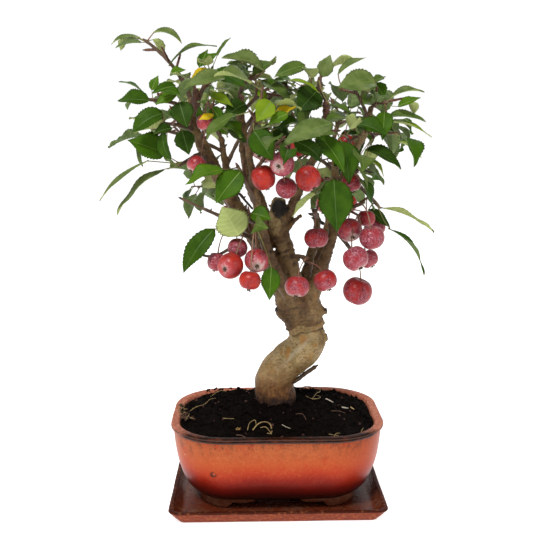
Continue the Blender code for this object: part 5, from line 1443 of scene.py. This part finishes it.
# Surfaces of the leaves: name and two colours, and for a blade's face roughness and specular, for the rest
# the size of its patches.
LEAF_SURFACES = [
    ("leaf_dark", (0.024, 0.053, 0.005), (0.013, 0.032, 0.003)),
    ("leaf_deep", (0.032, 0.075, 0.004), (0.019, 0.05, 0.003)),
    ("leaf_mid", (0.040, 0.094, 0.004), (0.027, 0.068, 0.003)),
    ("leaf_bright", (0.068, 0.138, 0.006), (0.045, 0.105, 0.005)),
    ("leaf_lime", (0.16, 0.23, 0.010), (0.11, 0.18, 0.008)),
    # Olive, sage and pale faces: greyer and paler greens that carry painted sheen of light on upturned
    # leaves.
    ("leaf_olive", (0.085, 0.125, 0.022), (0.042, 0.08, 0.009), 0.5, 0.1),
    ("leaf_sage", (0.115, 0.152, 0.04), (0.052, 0.088, 0.013), 0.5, 0.15),
    ("leaf_pale", (0.2, 0.245, 0.07), (0.12, 0.165, 0.035), 0.5, 0.15),
    ("leaf_yellow", (0.5, 0.34, 0.006), (0.34, 0.25, 0.006)),
    ("rib_dark", (0.055, 0.105, 0.012), (0.042, 0.085, 0.010), 8),
    ("rib_light", (0.11, 0.175, 0.022), (0.085, 0.15, 0.018), 8),
    ("rib_pale", (0.23, 0.28, 0.09), (0.2, 0.25, 0.075), 8),
    ("rib_yellow", (0.5, 0.38, 0.03), (0.4, 0.34, 0.025), 8),
    ("leaf_under", (0.125, 0.18, 0.055), (0.095, 0.145, 0.04), 0.6, 0.2),
    ("vein_under", (0.17, 0.225, 0.075), (0.15, 0.2, 0.065), 8),
    ("leaf_under_pale", (0.33, 0.38, 0.12), (0.27, 0.33, 0.1), 0.6, 0.2),
    ("vein_under_pale", (0.4, 0.44, 0.17), (0.36, 0.41, 0.15), 8),
    ("petiole", (0.14, 0.16, 0.04), (0.17, 0.125, 0.04), 12),
    ("petiole_red", (0.2, 0.07, 0.035), (0.16, 0.11, 0.04), 10),
]


def leaves(name, masses, surfaces):
    """All the leaves of some masses, each spray in one tint with a few leaves out of step, those facing up
    high in the crown in paler tints of painted sheen.
    """
    piece = Piece(name, surfaces)
    for mass in masses:
        rng = random.Random(mass.leaf_seed + BLADE_SEED)
        sprays = {}
        for leaf in mass.leaves:
            if leaf.tint:
                add_leaf(piece, leaf, rng, "full" if leaf.length > SHORT else "small", leaf.tint, CALM)
                continue
            near = min(range(len(mass.ends)), key=lambda k: (mass.ends[k][0] - leaf.root).length)
            sprays.setdefault(near, []).append((leaf, "full"))
        for k, grown in enumerate(mass.small):
            sprays[100 + k] = [(leaf, "small") for leaf in grown]
        for spray in sprays.values():
            shaded, sheen_tint = rng.choice(SPRAY_TINTS), rng.choice(SHEEN_TINTS)
            for leaf, kind in spray:
                sheen_lit = leaf.normal(0.5).z > SKYWARD and leaf.foot.z > OPEN_HEIGHT
                tint = sheen_tint if sheen_lit else shaded
                if rng.random() >= IN_STEP:
                    tint = rng.choice(SHEEN_TINTS if sheen_lit else SPRAY_TINTS)
                if kind == "small" and rng.random() < FADED:
                    tint = "yellow"
                add_leaf(piece, leaf, rng, kind, tint)
    piece.build([mass.name for mass in masses])


def add_leaf(piece, leaf, rng, kind, tint, calm=1.0):
    points, faces, parts = blade_mesh(leaf, rng, kind, calm)
    names = TINTS[tint].split()
    piece.add((points, faces), [names[part] for part in parts])
    foot, reach = leaf.centre(0.03), (leaf.foot - leaf.root).length
    ahead = leaf.root.lerp(leaf.foot, 0.6) - leaf.out * (0.12 * reach) - Vector((0, 0, 0.06 * reach))
    start = leaf.root + (leaf.root - ahead).normalized() * 0.6
    path = [bent(start, ahead, foot, t) for t in (0, 0.2, 0.4, 0.6, 0.8, 1)]
    wide = (0.85, 0.65, 0.55, 0.5, 0.48, 0.48) if kind == "full" else (0.6, 0.5, 0.42, 0.36, 0.34, 0.33)
    piece.add(pipe(path, wide, 6), "petiole_red" if rng.random() < 0.4 else "petiole")


# Fruit

FRUIT_AROUND, FRUIT_RINGS = 28, 22
CALYX_SEPALS = 5
SKINS = ("red", "crimson", "rose")


def fruit_shape(fruit, axis, tall, rng):
    """Points, faces and place from stalk (0) to calyx (1) of one fruit."""
    side, top = square_to(axis)
    radius = fruit.radius / max(tall, 1) ** 0.5
    squash, turn = rng.uniform(0.96, 1.0), rng.uniform(0, math.pi)
    points, along = [], []
    for i in range(FRUIT_RINGS + 1):
        a = math.pi * i / FRUIT_RINGS
        depth = -math.cos(a) * FRUIT_SQUAT * tall
        depth += 0.22 * math.exp(-(a / 0.34) ** 2) - 0.2 * math.exp(-((math.pi - a) / 0.3) ** 2)
        wide = math.sin(a) ** 0.92 if 0 < i < FRUIT_RINGS else 0.0
        for k in range(FRUIT_AROUND):
            b = 2 * math.pi * k / FRUIT_AROUND
            lobed = 1 + 0.04 * math.cos(5 * b) * max(-math.cos(a), 0) ** 2
            lobed *= 1 - (1 - squash) * math.cos(b - turn) ** 2
            across = turned(side, top, b)
            points.append(fruit.centre + (axis * depth + across * (wide * lobed)) * radius)
            along.append(i / FRUIT_RINGS)
    return (points, tube_faces(FRUIT_RINGS + 1, FRUIT_AROUND)), along, side, top


def fruits(name, masses, surfaces):
    """Fruit with stalks, the dry calyx under each."""
    piece = Piece(name, surfaces)
    for mass in masses:
        rng = random.Random(mass.twig_seed + SKIN_SEED)
        for fruit in mass.fruits:
            hang = (fruit.centre - fruit.root).normalized()
            axis = hang + Vector((rng.uniform(-0.5, 0.5), rng.uniform(-0.6, 0.2), -0.7))
            tall, skin = rng.uniform(0.96, 1.08), rng.choice(SKINS)
            if fruit.pose:
                way, tall, skin = fruit.pose
                axis = Vector(way)
            axis.normalize()
            shape, along, side, top = fruit_shape(fruit, axis, tall, rng)
            piece.add(shape, "fruit_" + skin, along)
            crown = fruit.centre - axis * (fruit.radius * (FRUIT_SQUAT * tall - 0.34))
            reach = (crown - fruit.root).length
            middle = fruit.middle.lerp(crown - axis * (reach * 0.4), 0.45)
            path = [bent(fruit.root, middle, crown, t) for t in np.linspace(0, 1, 11)]
            wide = [1.1, 0.8, 0.62, 0.55, 0.52, 0.52, 0.52, 0.55, 0.6, 0.68, 0.8]
            piece.add(pipe(path, wide, 7), "fruit_stalk")
            add_calyx(piece, fruit, axis, side, top, tall, rng)
    piece.build([mass.name for mass in masses if mass.fruits])


def add_calyx(piece, fruit, axis, side, top, tall, rng):
    """Five dry sepals round the withered stamens in the hollow under the fruit."""
    heart = fruit.centre + axis * (fruit.radius * (FRUIT_SQUAT * tall ** 0.5 - 0.17))
    stamens = [heart - axis * 0.8, heart + axis * 0.4, heart + axis * 1.2]
    piece.add(pipe(stamens, [1.4, 1.0, 0.5], 8), "calyx_dark")
    for k in range(CALYX_SEPALS):
        away = turned(side, top, 2 * math.pi * k / CALYX_SEPALS + rng.uniform(-0.2, 0.2))
        reach, lift = rng.uniform(1.8, 3.0), rng.uniform(1.0, 2.4)
        path = [heart + away * 0.9, heart + away * (reach * 0.6) + axis * lift * 0.9,
                heart + away * reach + axis * lift]
        sepal = pipe(curve_points(path, 5), [0.8, 0.75, 0.6, 0.45, 0.3, 0.12], 5, closed_tips=False)
        piece.add(sepal, "calyx")


# Pot and tray

ARC_STEPS, LONG_STEPS, SHORT_STEPS = 16, 26, 14
POT_FLOOR_Z, FLOOR_INSET = 22, 26
FOOT_TOP_Z = POT_BASE_Z + 3
FOOT_CLEAR = TRAY_FLOOR + CLEAR


def plan_ring(half_x, half_y, corner, z):
    """Points round a rectangle with round corners, the same number on each stretch."""
    def on_corner(quarter, a):
        sx, sy = ((1, 1), (-1, 1), (-1, -1), (1, -1))[quarter % 4]
        x, y = sx * (half_x - corner), sy * (half_y - corner)
        return x + corner * math.cos(a), y + corner * math.sin(a), z

    ring = []
    for quarter in range(4):
        ring += [on_corner(quarter, math.pi / 2 * (quarter + k / ARC_STEPS)) for k in range(ARC_STEPS)]
        a = math.pi / 2 * (quarter + 1)
        start, end = np.array(on_corner(quarter, a)), np.array(on_corner(quarter + 1, a))
        steps = LONG_STEPS if quarter % 2 == 0 else SHORT_STEPS
        ring += [tuple(start + (end - start) * k / steps) for k in range(steps)]
    return np.array(ring)


def pot_ring(inset, z):
    return plan_ring(POT_LENGTH / 2 - inset, POT_DEPTH / 2 - inset, POT_CORNER - inset * 0.72, z)


def tray_ring(inset, z):
    return plan_ring(TRAY_LENGTH / 2 - inset, TRAY_DEPTH / 2 - inset, max(TRAY_CORNER - inset * 0.4, 3), z)


def add_lofted(piece, make_ring, profile, roughness, seed):
    """A closed shape through a ring for each inset, height and surface, its skin a little uneven."""
    rings = [make_ring(inset, z) for inset, z, _ in profile]
    points = np.concatenate(rings)
    out = points - points * (0, 0, 1)
    out /= np.maximum(np.linalg.norm(out, axis=1, keepdims=True), 1e-6)
    points = points + out * relief(points, 22, roughness, seed)[:, None]
    bands = [surface for _, _, surface in profile[1:]]
    surfaces = [surface for surface in bands for _ in rings[0]] + [bands[0], bands[-1]]
    piece.add((points, tube_faces(len(rings), len(rings[0]))), surfaces)


def pot(surfaces):
    """The pot: swelling wall, lip over a thin groove, flat worn rim, inner wall, and a ring cut into feet."""
    wall, rim, groove = "wall", "rim", "groove"
    piece = Piece("pot_glazed", surfaces)
    stations = [(inset, z, 0, 0) for z, inset in POT_WALL]
    profile = [(*smooth(stations, i / 40)[0][:2], wall if i < 40 else groove) for i in range(41)]
    lip, top, inner = POT_RIM_Z - LIP_HEIGHT, POT_RIM_Z, RIM_WIDTH
    profile += [(1.9, lip + 0.35, groove), (0.7, lip + 0.4, rim), (0.25, lip + 0.9, rim),
                (0.105, lip + 1.8, rim), (0.05, top - 1.6, rim), (0.2, top - 0.9, groove),
                (0.6, top - 0.35, rim), (1.3, top - 0.05, rim), (3.0, top, rim),
                (inner - 2.4, top - 0.1, rim), (inner - 0.9, top - 0.5, rim), (inner - 0.1, top - 1.4, rim),
                (inner + 0.3, top - 4, rim), (inner + 2.6, 62, rim), (inner + 8, 40, rim),
                (FLOOR_INSET, POT_FLOOR_Z, rim)]
    add_lofted(piece, pot_ring, profile, 0.35, 11)
    piece.add(feet(), "feet")
    piece.build(["pot"])


def foot_edge(x, y):
    """Height of the feet's lower edge: cloud-shaped brackets that step up to an arch in the middle."""
    front = abs(y) > POT_DEPTH / 2 - FOOT_INSET - FOOT_WALL - 6 and abs(x) < 60
    ledge, clear = FOOT_GAP["front" if front else "side"]
    away = abs(x) if front else abs(y)
    step = np.interp(away, (ledge - 3, ledge + 2), (1, 0))
    drop = np.interp(away, (clear - 3.5, clear + 1.5), (1, 0))
    low = FOOT_CLEAR + (POT_BASE_Z - FOOT_LEDGE - FOOT_CLEAR) * (drop * drop * (3 - 2 * drop))
    low += FOOT_LEDGE * step * step * (3 - 2 * step)
    return low - 0.9 * math.sin(math.pi * np.interp(away, (ledge + 2, clear - 3.5), (0, 1)))


# The feet's ring in section: how far up and how far in from its outer face.
FOOT_SECTION = [(0.0, 1.0), (0.15, 0.3), (0.5, -0.4), (0.85, 0.0), (1.0, 0.4), (1.0, FOOT_WALL),
                (0.0, FOOT_WALL)]


def feet():
    """The ring under the pot whose lower edge is cut into brackets."""
    edge = np.array([foot_edge(x, y) for x, y, _ in pot_ring(FOOT_INSET, 0)])
    rings = []
    for share, inset in FOOT_SECTION:
        ring = pot_ring(FOOT_INSET + inset, 0)
        ring[:, 2] = edge + (FOOT_TOP_Z - edge) * share
        rings.append(ring)
    around, last = len(edge), (len(rings) - 1) * len(edge)
    faces = tube_faces(len(rings), around, ends=False)
    for k in range(around):
        b = (k + 1) % around
        faces.append((last + k, last + b, b, k))
    return np.concatenate(rings), faces


def tray(surfaces):
    """The drip tray: leaning walls with a rounded worn rim, and a flat floor inside."""
    wall, rim, inside = "wall", "rim", "inside"
    top, inner = TRAY_HEIGHT, TRAY_WALL
    inner_foot = TRAY_SLOPE * (1 - TRAY_FLOOR / top) + inner
    profile = [(TRAY_SLOPE + 2, 0, wall), (TRAY_SLOPE + 0.3, 0, wall), (TRAY_SLOPE - 0.3, 0.4, wall)]
    for share in (0.2, 0.4, 0.6, 0.8):
        inset = TRAY_SLOPE * (1 - share) + 0.3 - 0.4 * math.sin(math.pi * share)
        profile.append((inset, top * share * 0.9, wall))
    profile += [(0.6, top - 2.0, wall), (0.15, top - 1.3, rim), (0.1, top - 0.8, rim), (0.5, top - 0.2, rim),
                (1.2, top, rim), (inner - 1.4, top, rim), (inner - 0.5, top - 0.3, rim),
                (inner, top - 1.1, rim),
                (inner + 2.6, top - 4.6, inside), (inner_foot - 0.6, TRAY_FLOOR + 0.9, inside),
                (inner_foot + 0.6, TRAY_FLOOR + 0.15, inside), (inner_foot + 3, TRAY_FLOOR, inside)]
    piece = Piece("tray_glazed", surfaces)
    add_lofted(piece, tray_ring, profile, 0.3, 13)
    piece.build(["tray"])


# Soil

SOIL_RINGS, SOIL_SKIRT_Z = 84, 66
CRUMBS, BIG_SHARE, LAVA_SHARE = 1300, 0.12, 0.05   # how many, and shares of large and of reddish ones
# Litter on the soil: straws, roots and chips, as points in mm with z above the soil, and their radii.
STRAWS = [
    ([(-84, 4, 1.5), (-79, 8, 3.0), (-71, 18, 1.6), (-66, 24, 2.6), (-60, 33, 1.0)], 0.42, 0.22, "straw"),
    ([(-23, -48, 0.8), (-18, -41, 3.6), (-12, -39, 4.6), (-7, -44, 3.2), (-6, -52, 1.0), (-10, -53, 0.8)],
     0.6, 0.45, "straw"),
    ([(-28, -46, 0.8), (-26, -39, 2.8), (-21, -35, 3.8), (-20, -41, 1.0)], 0.36, 0.22, "straw"),
    ([(-16, -44, 1.5), (-11, -48, 2.4), (-6, -54, 0.9)], 0.5, 0.35, "straw"),
    ([(-38, -54, 0.8), (-33, -60, 1.4), (-28, -64, 0.9), (-22, -66, 1.1)], 0.5, 0.35, "fine_root"),
    ([(4, -40, 1.0), (8, -44, 1.5), (11, -48, 1.0)], 0.42, 0.3, "chip"),
    ([(29, 64, 1.0), (34, 65, 3.6), (40, 62, 2.4), (46, 55, 4.2), (46, 45, 2.0), (42, 33, 3.4),
      (37, 22, 1.0)], 0.5, 0.3, "straw"),
    ([(30, 26, 0.8), (36, 18, 2.4), (43, 20, 2.0), (45, 28, 1.5), (40, 33, 1.0)], 0.38, 0.22, "straw"),
    ([(50, 21, 0.8), (53, 18, 1.4), (57, 17, 1.0)], 0.8, 0.5, "chip"),
    ([(64, 3, 0.8), (67, 1, 1.4), (70, 2, 0.9)], 0.8, 0.5, "chip"),
    ([(73, 4, 0.8), (76, 2, 1.3)], 0.8, 0.5, "straw"),
    ([(53, -6, 0.8), (60, -9, 1.6), (66, -10, 1.0)], 0.32, 0.22, "fine_root"),
    ([(46, -56, 0.8), (49, -60, 1.8), (54, -63, 1.0)], 0.34, 0.22, "straw"),
    ([(50, -64, 0.8), (52, -61, 3.0), (56, -57, 1.0)], 0.34, 0.2, "straw"),
    ([(76, -51, 0.8), (78, -48, 2.2), (79, -43, 1.0)], 0.34, 0.2, "straw"),
    ([(-30, 48, 0.6), (-27, 53, 2.2), (-22, 51, 1.8), (-20, 45, 0.5)], 0.45, 0.3, "fine_root"),
    ([(-52, -20, 0.6), (-46, -26, 1.3), (-41, -25, 0.6)], 0.4, 0.25, "straw"),
    ([(18, -18, 0.6), (24, -22, 1.4), (27, -29, 0.6)], 0.36, 0.22, "fine_root"),
    ([(-66, 40, 0.6), (-58, 50, 2.6), (-50, 52, 0.6)], 0.36, 0.22, "straw"),
]
MOSS_CLUMPS = [((-94, 17), 3.0, 26), ((-92, 4), 4.0, 46), ((-90, -8), 3.4, 34), ((-86, -17), 3.0, 20)]
DRY_LEAF_PLACE = (-40, -44)
RIM_CRUMBS = [(-66, 66), (-57, 68), (-46, 70), (-72, 62)]


def soil_height(x, y):
    """Height of the mound: level at the pot's wall and highest round the trunk, with lumps."""
    away = math.hypot((x - TRUNK_FOOT[0]) / 92, (y - TRUNK_FOOT[1]) / 72)
    base = SOIL_EDGE_Z + (SOIL_TOP_Z - SOIL_EDGE_Z) * (1 - min(away, 1)) ** 0.75
    spot = Vector((x, y, 0))
    lumps = 1.6 * noise.noise(spot / 11) + 1.5 * noise.noise(spot / 4.2 + Vector((9, 0, 0)))
    return base + lumps + 0.6 * noise.noise(spot / 1.7 + Vector((0, 9, 0)))


def soil(surfaces):
    """Dark crumbly soil, heaped with lumps, with straws, roots, moss and a dry leaf lying on it."""
    piece = Piece("soil_heap", surfaces)
    edge = pot_ring(RIM_WIDTH + 0.9, 0)
    rings = [pot_ring(RIM_WIDTH + 2.4, SOIL_SKIRT_Z), pot_ring(RIM_WIDTH + 1.0, SOIL_EDGE_Z - 2)]
    centre = np.array((*TRUNK_FOOT, 0.0))
    for i in range(SOIL_RINGS):
        ring = centre + (edge - centre) * (1 - i / SOIL_RINGS)
        ring[:, 2] = [soil_height(x, y) for x, y, _ in ring]
        rings.append(ring)
    piece.add((np.concatenate(rings), tube_faces(len(rings), len(edge))), "soil")
    rng = random.Random(31)
    for i in range(CRUMBS):
        share, turn = rng.uniform(0, 1) ** 0.6, rng.randrange(len(edge))
        x, y, _ = centre + (edge[turn] - centre) * share * 0.985
        size = rng.uniform(0.6, 1.5) * (1.6 if rng.random() < BIG_SHARE else 1)
        lump = crumb(Vector((x, y, soil_height(x, y) + size * 0.3)), size, rng)
        piece.add(lump, "lava" if rng.random() < LAVA_SHARE else "soil")
    for x, y in RIM_CRUMBS:
        for i in range(5):
            spot = Vector((x + rng.gauss(0, 2.2), y + rng.gauss(0, 0.8), POT_RIM_Z + rng.uniform(0, 0.8)))
            piece.add(crumb(spot, rng.uniform(0.5, 1.3), rng), "soil")
    for stations, thick, thin, kind in STRAWS:
        lifted = [(x, y, soil_height(x, y) + z) for x, y, z in stations]
        piece.add(pipe(curve_points(lifted, 14), np.linspace(thick, thin, 15), 7), kind)
    add_moss(piece, rng)
    piece.add(dry_leaf(rng), "dry_leaf")
    piece.build(["soil"])


# The corners of a cube and the middles of its sides.
CUBE_SPOTS = [(x, y, z) for x in (-1, 0, 1) for y in (-1, 0, 1) for z in (-1, 0, 1)
              if abs(x) + abs(y) + abs(z) in (1, 3)]


def crumb(centre, size, rng):
    """An uneven lump: a cube's corners and side middles pushed out and in."""
    points = [centre + Vector(spot).normalized() * (size * rng.uniform(0.65, 1.1)) for spot in CUBE_SPOTS]
    return points, CRUMB_FACES


def crumb_faces():
    """Faces of a cube with a point on each side, each side in four triangles."""
    faces = []
    for axis in range(3):
        for sign in (-1, 1):
            middle = tuple(sign if i == axis else 0 for i in range(3))
            corners = []
            for pair in ((-1, -1), (1, -1), (1, 1), (-1, 1)):
                corner = [0, 0, 0]
                corner[axis], corner[(axis + 1) % 3], corner[(axis + 2) % 3] = sign, *pair
                corners.append(CUBE_SPOTS.index(tuple(corner)))
            if sign < 0:
                corners.reverse()
            faces += [(CUBE_SPOTS.index(middle), corners[k], corners[(k + 1) % 4]) for k in range(4)]
    return faces


CRUMB_FACES = crumb_faces()


def add_moss(piece, rng):
    """Clumps of dry moss and fine roots along the left rim, hanging over it a little."""
    for (x0, y0), spread, strands in MOSS_CLUMPS:
        for i in range(strands):
            x, y = x0 + rng.gauss(0, spread * 0.35), y0 + rng.gauss(0, spread)
            lift = max(0.0, spread - abs(y - y0)) * 0.5
            start = Vector((x, y, POT_RIM_Z - 0.6 + rng.uniform(0, 1) * lift))
            way = Vector((rng.gauss(0, 1), rng.gauss(0, 1), rng.uniform(-0.1, 0.7))).normalized()
            turn = Vector((rng.gauss(0, 1), rng.gauss(0, 1), rng.gauss(-0.3, 0.5)))
            length = rng.uniform(2.0, 5.0)
            path = [start + way * (length * t) + turn * (length * 0.35 * t * t) for t in (0, 0.35, 0.7, 1)]
            strand = pipe(path, (0.36, 0.3, 0.24, 0.14), 5, closed_tips=False)
            piece.add(strand, "straw" if rng.random() < 0.45 else "fine_root")
        for i in range(strands // 2):
            x, y = x0 + rng.gauss(0.5, spread * 0.3), y0 + rng.gauss(0, spread * 0.9)
            lump = crumb(Vector((x, y, POT_RIM_Z + rng.uniform(-0.6, 1.0))), rng.uniform(0.6, 1.4), rng)
            piece.add(lump, "lava" if rng.random() < 0.3 else "soil")


def dry_leaf(rng):
    """A small curled dry leaf that lies on the soil."""
    x, y = DRY_LEAF_PLACE
    root = Vector((x, y, soil_height(x, y) + 1))
    out = Vector((0.95, 0.15, 0.25)).normalized()
    up = Vector((-0.2, -0.5, 0.8))
    up = (up - out * up.dot(out)).normalized()
    points, faces, _ = blade_mesh(Leaf(root, out, up, root + out, 11, 4.5, math.radians(80)), rng, "small")
    return points, faces


# Stage

FLOOR_HALF = 30.0        # half the floor's breadth, m
FLOOR_COLOUR, FLOOR_GLOW = (0.8, 0.8, 0.8), 0.76
HORIZON_LIGHT, SKY_LIGHT = 1.02, 0.3
LIGHT_AIM = (0.0, 0.0, 0.25)
# Lamps: name, place and size in metres, power in watts.
LAMPS = [("key", (-0.7, -1.3, 2.0), 0.6, 46.0), ("fill", (1.5, -1.3, 0.9), 0.9, 5.0),
         ("back", (0.4, 1.4, 1.8), 0.9, 12.0)]


def stage():
    """A plain pale floor and soft studio light."""
    corners = [(x * FLOOR_HALF, y * FLOOR_HALF, 0) for x, y in ((-1, -1), (1, -1), (1, 1), (-1, 1))]
    floor = mesh_of("floor", corners, [(0, 1, 2, 3)])
    paint = Paint("floor", 0.9, 0.1)
    paint.set("Base Color", FLOOR_COLOUR)
    paint.set("Emission Color", (1.0, 1.0, 1.0))
    paint.set("Emission Strength", FLOOR_GLOW)
    floor.materials.append(paint.material)
    put_in_scene("floor", floor)
    world = bpy.data.worlds.new("studio")
    bpy.context.scene.world = world
    world.use_nodes = True
    tree = world.node_tree
    way = tree.nodes.new("ShaderNodeTexCoord").outputs["Generated"]
    parts = tree.nodes.new("ShaderNodeSeparateXYZ")
    tree.links.new(way, parts.inputs["Vector"])
    fade = tree.nodes.new("ShaderNodeMapRange")
    reach = {"From Min": 0.2, "From Max": 0.5, "To Min": HORIZON_LIGHT, "To Max": SKY_LIGHT}
    for key, value in reach.items():
        fade.inputs[key].default_value = value
    tree.links.new(parts.outputs["Z"], fade.inputs["Value"])
    tree.links.new(fade.outputs["Result"], tree.nodes["Background"].inputs["Strength"])
    tree.nodes["Background"].inputs["Color"].default_value = (1, 1, 1, 1)
    for name, place, size, power in LAMPS:
        data = bpy.data.lights.new(name, "AREA")
        data.shape, data.size, data.energy = "DISK", size, power
        lamp = put_in_scene(name, data)
        lamp.location = place
        lamp.rotation_euler = (Vector(LIGHT_AIM) - lamp.location).to_track_quat("-Z", "Y").to_euler()


def camera():
    data = bpy.data.cameras.new("camera")
    data.lens, data.sensor_width, data.sensor_fit = CAMERA_LENS, SENSOR_WIDTH, "HORIZONTAL"
    data.clip_start, data.clip_end = 0.01, 100.0
    made = put_in_scene("camera", data)
    made.location = Vector(CAMERA_PLACE) * MM
    made.rotation_euler = (math.radians(90 - CAMERA_TILT), 0, math.radians(-CAMERA_TURN))
    bpy.context.scene.camera = made


# Surfaces of two colours: name, colours, size of the patches in mm, and roughness.
TWIG_SURFACES = [
    ("twig_young", (0.12, 0.042, 0.018), (0.06, 0.022, 0.012), 4, 0.5),
    ("twig_old", (0.105, 0.058, 0.026), (0.045, 0.024, 0.013), 5, 0.6),
    ("twig_green", (0.12, 0.11, 0.03), (0.13, 0.075, 0.028), 6, 0.5),
    ("twig_dead", (0.045, 0.026, 0.015), (0.018, 0.011, 0.008), 4, 0.7),
]
STALK_SURFACES = [
    ("fruit_stalk", (0.19, 0.06, 0.045), (0.2, 0.13, 0.06), 8, 0.5),
    ("calyx", (0.13, 0.09, 0.045), (0.05, 0.028, 0.016), 2, 0.8),
    ("calyx_dark", (0.03, 0.018, 0.012), (0.07, 0.045, 0.025), 1.5, 0.8),
]
LITTER_SURFACES = [
    ("lava", (0.06, 0.018, 0.011), (0.03, 0.011, 0.007), 1.5, 0.9),
    ("straw", (0.34, 0.24, 0.1), (0.2, 0.125, 0.05), 4, 0.7),
    ("fine_root", (0.14, 0.065, 0.04), (0.08, 0.04, 0.022), 3, 0.7),
    ("chip", (0.5, 0.44, 0.35), (0.36, 0.3, 0.22), 3, 0.7),
    ("dry_leaf", (0.3, 0.18, 0.05), (0.19, 0.11, 0.035), 4, 0.7),
]
# Skins of the fruit: name, two colours, how much bloom, and where it pales toward the calyx.
FRUIT_SURFACES = [
    ("fruit_red", (0.33, 0.016, 0.005), (0.21, 0.006, 0.004), 0.16, 0.7),
    ("fruit_crimson", (0.3, 0.016, 0.014), (0.15, 0.004, 0.008), 0.45, 0.6),
    ("fruit_rose", (0.24, 0.018, 0.024), (0.14, 0.008, 0.016), 0.68, 0.62),
]


def plain_surfaces(rows):
    return {row[0]: plain_surface(*row) for row in rows}


def side_of(mass):
    """Which piece a mass's leaves go into."""
    x, y, _ = mass.tip
    if y > 50:
        return "back"
    return "left" if x < -30 else "right" if x > 50 else "middle"


def main():
    bpy.context.scene.view_settings.view_transform = "Standard"
    camera()
    stage()
    crown = Crown()
    masses = grow_tree(crown)
    for mass in masses:
        grow_fine(mass, crown)
    bark(bark_surface())
    twigs(masses, plain_surfaces(TWIG_SURFACES))
    green = {row[0]: (leaf_surface if row[0].startswith("leaf") else plain_surface)(*row)
             for row in LEAF_SURFACES}
    skins = {row[0]: fruit_surface(*row) for row in FRUIT_SURFACES} | plain_surfaces(STALK_SURFACES)
    for side in ("left", "middle", "right", "back"):
        group = [mass for mass in masses if side_of(mass) == side]
        leaves("leaves_" + side, group, green)
        fruits("fruit_" + side, group, skins)
    pot({"wall": glaze_surface(),
         "rim": rim_surface(),
         "feet": worn_surface("pot_feet", (0.13, 0.035, 0.016), (0.16, 0.07, 0.04), (0.05, 0.018, 0.011),
                              roughness=0.6),
         "groove": plain_surface("pot_groove", (0.03, 0.012, 0.008), (0.055, 0.018, 0.01), 4, 0.5)})
    tray({"wall": worn_surface("tray_wall", (0.17, 0.022, 0.005), (0.3, 0.07, 0.018), (0.06, 0.010, 0.004),
                               size=3),
          "rim": worn_surface("tray_rim", (0.05, 0.009, 0.004), (0.24, 0.075, 0.027), (0.012, 0.004, 0.002),
                              0.6, size=4),
          "inside": worn_surface("tray_inside", (0.11, 0.019, 0.007), (0.14, 0.05, 0.026),
                                 (0.025, 0.006, 0.003), size=9, specular=0.28, roughness=0.24)})
    soil({"soil": soil_surface(), **plain_surfaces(LITTER_SURFACES)})


main()
